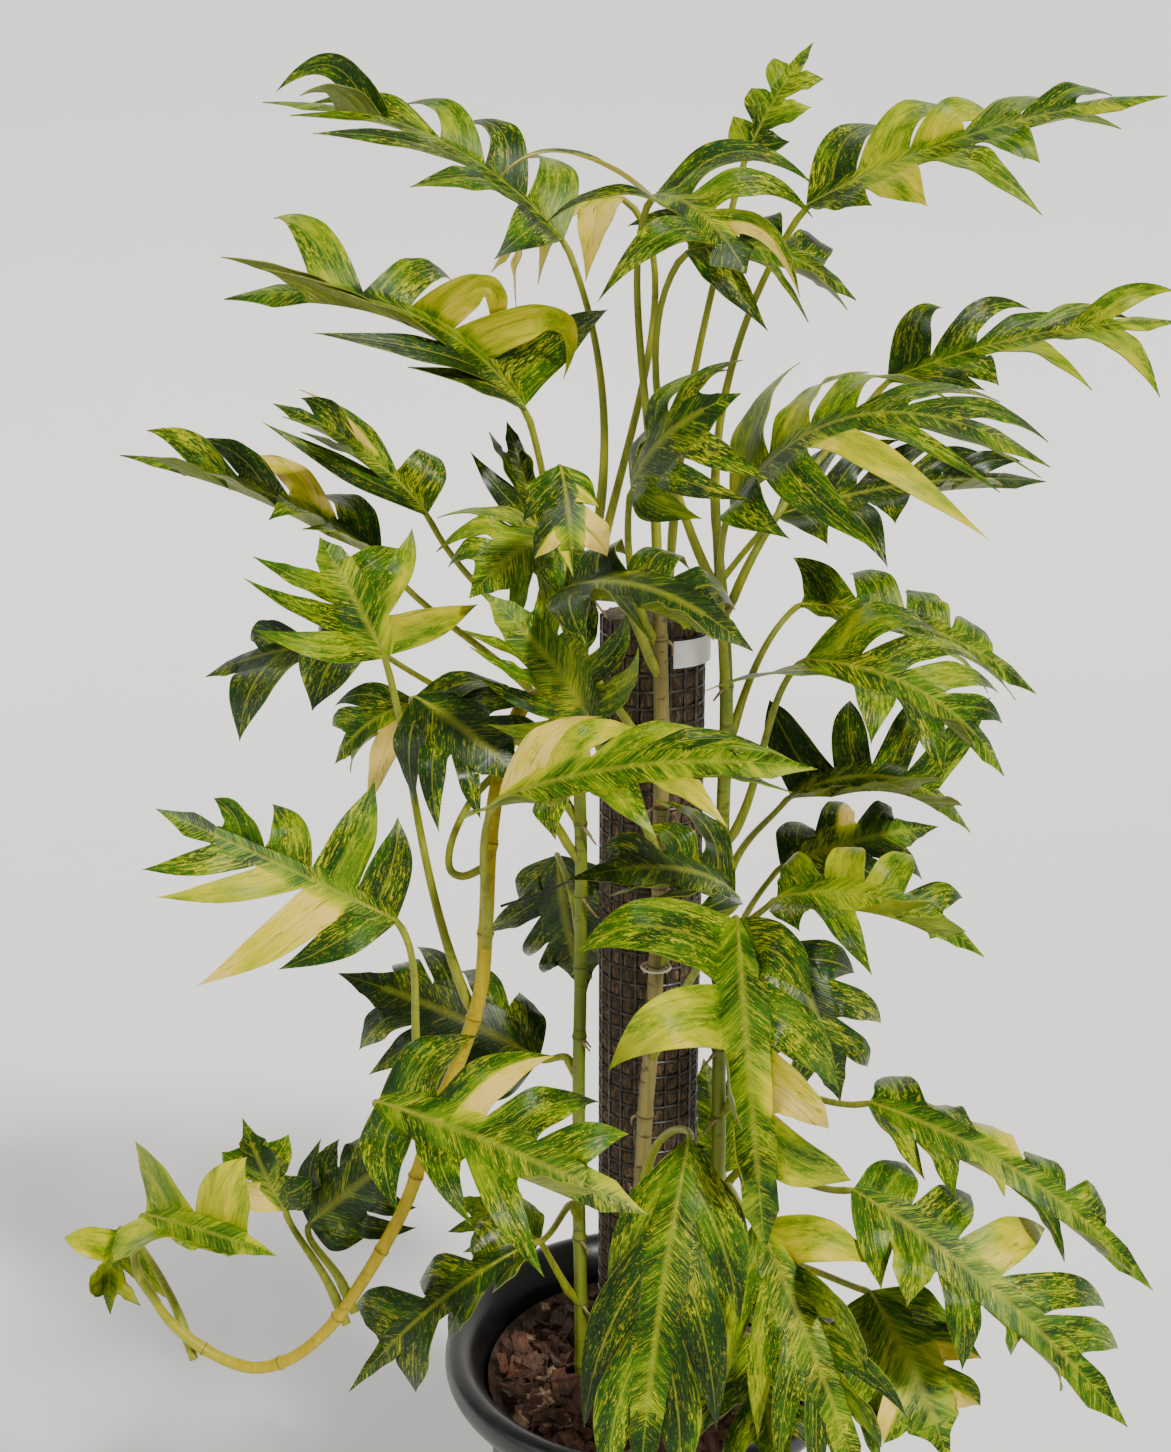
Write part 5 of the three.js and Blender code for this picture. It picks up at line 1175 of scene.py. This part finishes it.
# The blade of a leaf
class Blade:
    """A leaf's blade as one sheet, before it has thickness. Coordinates follow the side veins."""

    def __init__(self, leaf, form):
        self.leaf, self.form, self.frame_at = leaf, form, form.frame_at
        self.length = Run([bezier(form.midrib, k / 20) for k in range(21)]).length
        self.shift = np.array([37.0, 61.0]) * (leaf.seed - 1)
        self.pale = PALE_OF[leaf.color]
        self.tints = leaf.tints.split()
        self.sheet = Build()
        self.rib, self.band = {}, {}
        draw = Draw(3000 + leaf.seed)
        for lobe in form.lobes:
            self.add_lobe(lobe, draw)
        for hand in (-1, 1):
            self.add_end(hand)

    def add(self, p, coord, pale, across):
        return self.sheet.point(p, np.array(coord) + self.shift, (pale, across, 0.0))

    def rib_point(self, s):
        """A point on the midrib, shared by both sides."""
        key = round(s, 5)
        if key not in self.rib:
            self.rib[key] = self.add(self.frame_at(s)[0], (0.0, s * self.length), self.pale, 0.0)
        return self.rib[key]

    def band_point(self, hand, s, pale):
        """A point on the edge of the uncut band, shared by neighbouring lobes."""
        key = (hand, round(s, 5))
        if key not in self.band:
            point, _, normal, side = self.frame_at(s)
            grown = min((s - BLADE_START) / ((BLADE_END - BLADE_START) / self.leaf.lobes), 1)
            web = between((PETIOLE_END_RADIUS, web_at(self.leaf, s)), grown)
            self.band[key] = self.add(
                point + side * hand * web - normal * 0.15 * web,
                (hand * web, s * self.length - web * STREAK_SWEEP), pale * 0.5 + self.pale * 0.5, 0.3)
        return self.band[key]

    def half_pale(self, lobe, half, draw):
        """How pale one half of a lobe is."""
        pale = self.pale + (draw() - 0.5) * 0.2
        if draw() < CREAM_CHANCE[self.leaf.color]:
            pale = TINTS["c"]
        if self.tints:
            letter = self.tints[lobe.hand > 0][lobe.index]
            pale = TINTS["gc"[half] if letter == "h" else letter] + (draw() - 0.5) * 0.1
        return pale

    def add_lobe(self, lobe, draw):
        hand, web = lobe.hand, self.leaf.web
        halves = [self.half_pale(lobe, half, draw) for half in (0, 1)]
        cup = (draw() - 0.35) * 0.3
        wave, phase, waves = between((0.4, 1.6), draw()), draw() * 2 * math.pi, between((1.4, 2.6), draw())
        grid = []
        for w in ACROSS:
            s = between(lobe.shares, (w + 1) / 2)
            grid.append((self.rib_point(s), self.band_point(hand, s, halves[w >= 0])))
        grid = list(zip(*grid))
        roots = [self.sheet.points[k] for k in grid[1]]
        (first, *_), *rows = lobe_line(lobe, [q / LOBE_ROWS for q in range(LOBE_ROWS + 1)])
        for centre, upper, edge, width, v in rows:
            blend = math.sin(min(v / 0.3, 1) * math.pi / 2)
            swell = math.sin(math.pi * min(v * 1.4, 1))
            row = []
            for w, root in zip(ACROSS, roots):
                p = (root + (centre - first)) * (1 - blend) + (centre + edge * w * width) * blend
                p = p + upper * (cup * w * w * width * swell)
                ripple = math.sin(waves * 2 * math.pi * v + phase + (1.7 if w > 0 else 0))
                p = p + upper * (wave * abs(w) ** 1.5 * ripple * swell)
                p = p - upper * (0.5 * math.exp(-((w / 0.2) ** 2)) * swell)
                pale = halves[w > 0] if w else sum(halves) / 2
                span = hand * (web + v * lobe.length)
                across = sum(lobe.shares) / 2 * self.length - web * STREAK_SWEEP + w * width
                row.append(row[0] if v == 1 and row else self.add(p, (span, across), pale, abs(w)))
            grid.append(row)
        self.sheet.grid(grid, flip=hand > 0)

    def add_end(self, hand):
        """One half of the lobe at the blade's end."""
        spread = self.leaf.width * TERMINAL_SHARE
        web = web_at(self.leaf, BLADE_END)
        pale = TINTS[self.tints[2][hand > 0]] if self.tints else self.pale
        rib, edge = self.rib_point(BLADE_END), self.band[(hand, round(BLADE_END, 5))]
        middle = (self.sheet.points[rib] + self.sheet.points[edge]) / 2
        grid = [(rib, self.add(middle, (2 * hand, BLADE_END * self.length), self.pale, 0.3), edge)]
        for k in range(1, END_ROWS + 1):
            t = k / END_ROWS
            s = between((BLADE_END, 1), t)
            point, _, normal, side = self.frame_at(s)
            rib = self.rib_point(s)
            if t < 0.45:
                half = between((web, spread), math.sin(t / 0.45 * math.pi / 2))
            else:
                half = spread * (1 - ((t - 0.45) / 0.55) ** 0.75)
            row = [rib]
            for reach, fall in ((0.5, 0.06), (1.0, 0.16)):
                place = point + side * hand * half * reach - normal * half * fall
                coord = (hand * half * reach, s * self.length - half * reach * STREAK_SWEEP)
                row.append(rib if k == END_ROWS else self.add(place, coord, pale, reach))
            grid.append(row)
        self.sheet.grid(grid, flip=hand < 0)

    def two_faced(self):
        """The sheet with an upper and an under face, joined round its edge."""
        sheet = self.sheet
        points = np.array(sheet.points)
        normals = np.zeros_like(points)
        for face in sheet.faces:
            a, b, c = points[list(face[:3])]
            normals[list(face)] += np.cross(b - a, c - a)
        normals /= np.maximum(np.linalg.norm(normals, axis=1), 1e-9)[:, None]
        build = Build()
        for way, under in ((BLADE, 0.0), (-BLADE, 1.0)):
            for p, normal, coord, (pale, across, _) in zip(points, normals, sheet.coords, sheet.tones):
                build.point(p + normal * way, coord, (pale, across, under))
        count = len(points)
        edges = {}
        for face in sheet.faces:
            build.face(face)
            build.face([k + count for k in face[::-1]])
            edges.update(dict.fromkeys(zip(face, face[1:] + face[:1])))
        for a, b in edges:
            if (b, a) not in edges:
                build.face((b, a, a + count, b + count))
        return build


def add_petiole(build, form):
    """The petiole, which runs on as the rib under the blade."""
    centres, radii = [form.socket], [PETIOLE_FOOT_RADIUS * 0.9]
    steps = 18
    for k in range(steps):
        t = k / steps
        swell = 1 + 0.2 * math.exp(-(((1 - t) * 9) ** 2)) + 0.16 * math.exp(-((t * 6) ** 2))
        centres.append(bezier(form.path, t))
        radii.append(between((PETIOLE_FOOT_RADIUS, PETIOLE_END_RADIUS), t) * swell * 0.93)
    for k in range(17):
        s = between((BLADE_START, 0.985), k / 16)
        point, _, normal, _ = form.frame_at(s)
        radius = max(PETIOLE_END_RADIUS * (1 - s) ** 0.8, 0.25)
        centres.append(point - normal * (BLADE * 0.5 + radius * 0.62))
        radii.append(radius)
    build.tube(centres, radii, 10, 1)


def make_leaf(leaf):
    form = leaf_form(leaf, *find_turn(leaf))
    build = Blade(leaf, form).two_faced()
    add_petiole(build, form)
    slot_name = "leaf_" + leaf.color
    name = "leaf_" + leaf.name
    build.piece(name + "_blade", [MATERIALS[slot_name], MATERIALS["petiole"]], name, slot_name, 55)


# Floor, light and camera
def make_stage():
    """A pale floor that curves up into a pale wall far behind."""
    half, wall_y, wall_top, bend = 6, 4, 7, 1.5
    line = [(-half, 0)]
    for k in range(13):
        angle = k / 12 * math.pi / 2
        line.append((wall_y - bend + bend * math.sin(angle), bend - bend * math.cos(angle)))
    line.append((wall_y, wall_top))
    corners = [(x, y, z) for y, z in line for x in (-half, half)]
    mesh = bpy.data.meshes.new("floor")
    mesh.from_pydata(corners, [], [(2 * k, 2 * k + 1, 2 * k + 3, 2 * k + 2) for k in range(len(line) - 1)])
    mesh.shade_smooth()
    mesh.materials.append(floor_material())
    placed("floor", mesh)


def add_lamp(name, kind, aim, **values):
    data = bpy.data.lights.new(name, kind)
    for key, value in values.items():
        setattr(data, key, value)
    lamp = placed(name, data)
    lamp.rotation_euler = Vector(aim).to_track_quat("-Z", "Y").to_euler()
    return lamp


def make_light():
    world = bpy.data.worlds.new("studio")
    world.use_nodes = True
    sky = world.node_tree.nodes["Background"].inputs
    sky["Color"].default_value = (1, 1, 1, 1)
    sky["Strength"].default_value = SKY_STRENGTH
    bpy.context.scene.world = world
    add_lamp("key", "SUN", SUN_AIM, energy=SUN_STRENGTH, angle=SUN_WIDTH * DEGREE, color=SUN_COLOR)
    add_lamp("fill", "AREA", FILL_AIM, energy=FILL_POWER, size=FILL_SIZE).location = FILL_PLACE


def make_camera():
    data = bpy.data.cameras.new("camera")
    data.sensor_width = SENSOR
    data.lens = LENS
    data.clip_start = 0.01
    camera = placed("camera", data)
    camera.location = CAMERA_PLACE
    camera.rotation_euler = ((90 - CAMERA_PITCH) * DEGREE, 0, 0)
    bpy.context.scene.camera = camera


make_camera()
make_stage()
make_light()
make_pot()
make_mix()
make_pole()
make_label()
make_ties()
for number, stem_name in enumerate(STEMS):
    make_stem(stem_name, number)
for number, row in enumerate(LEAF_ROWS):
    make_leaf(Leaf(number + 1, *row))
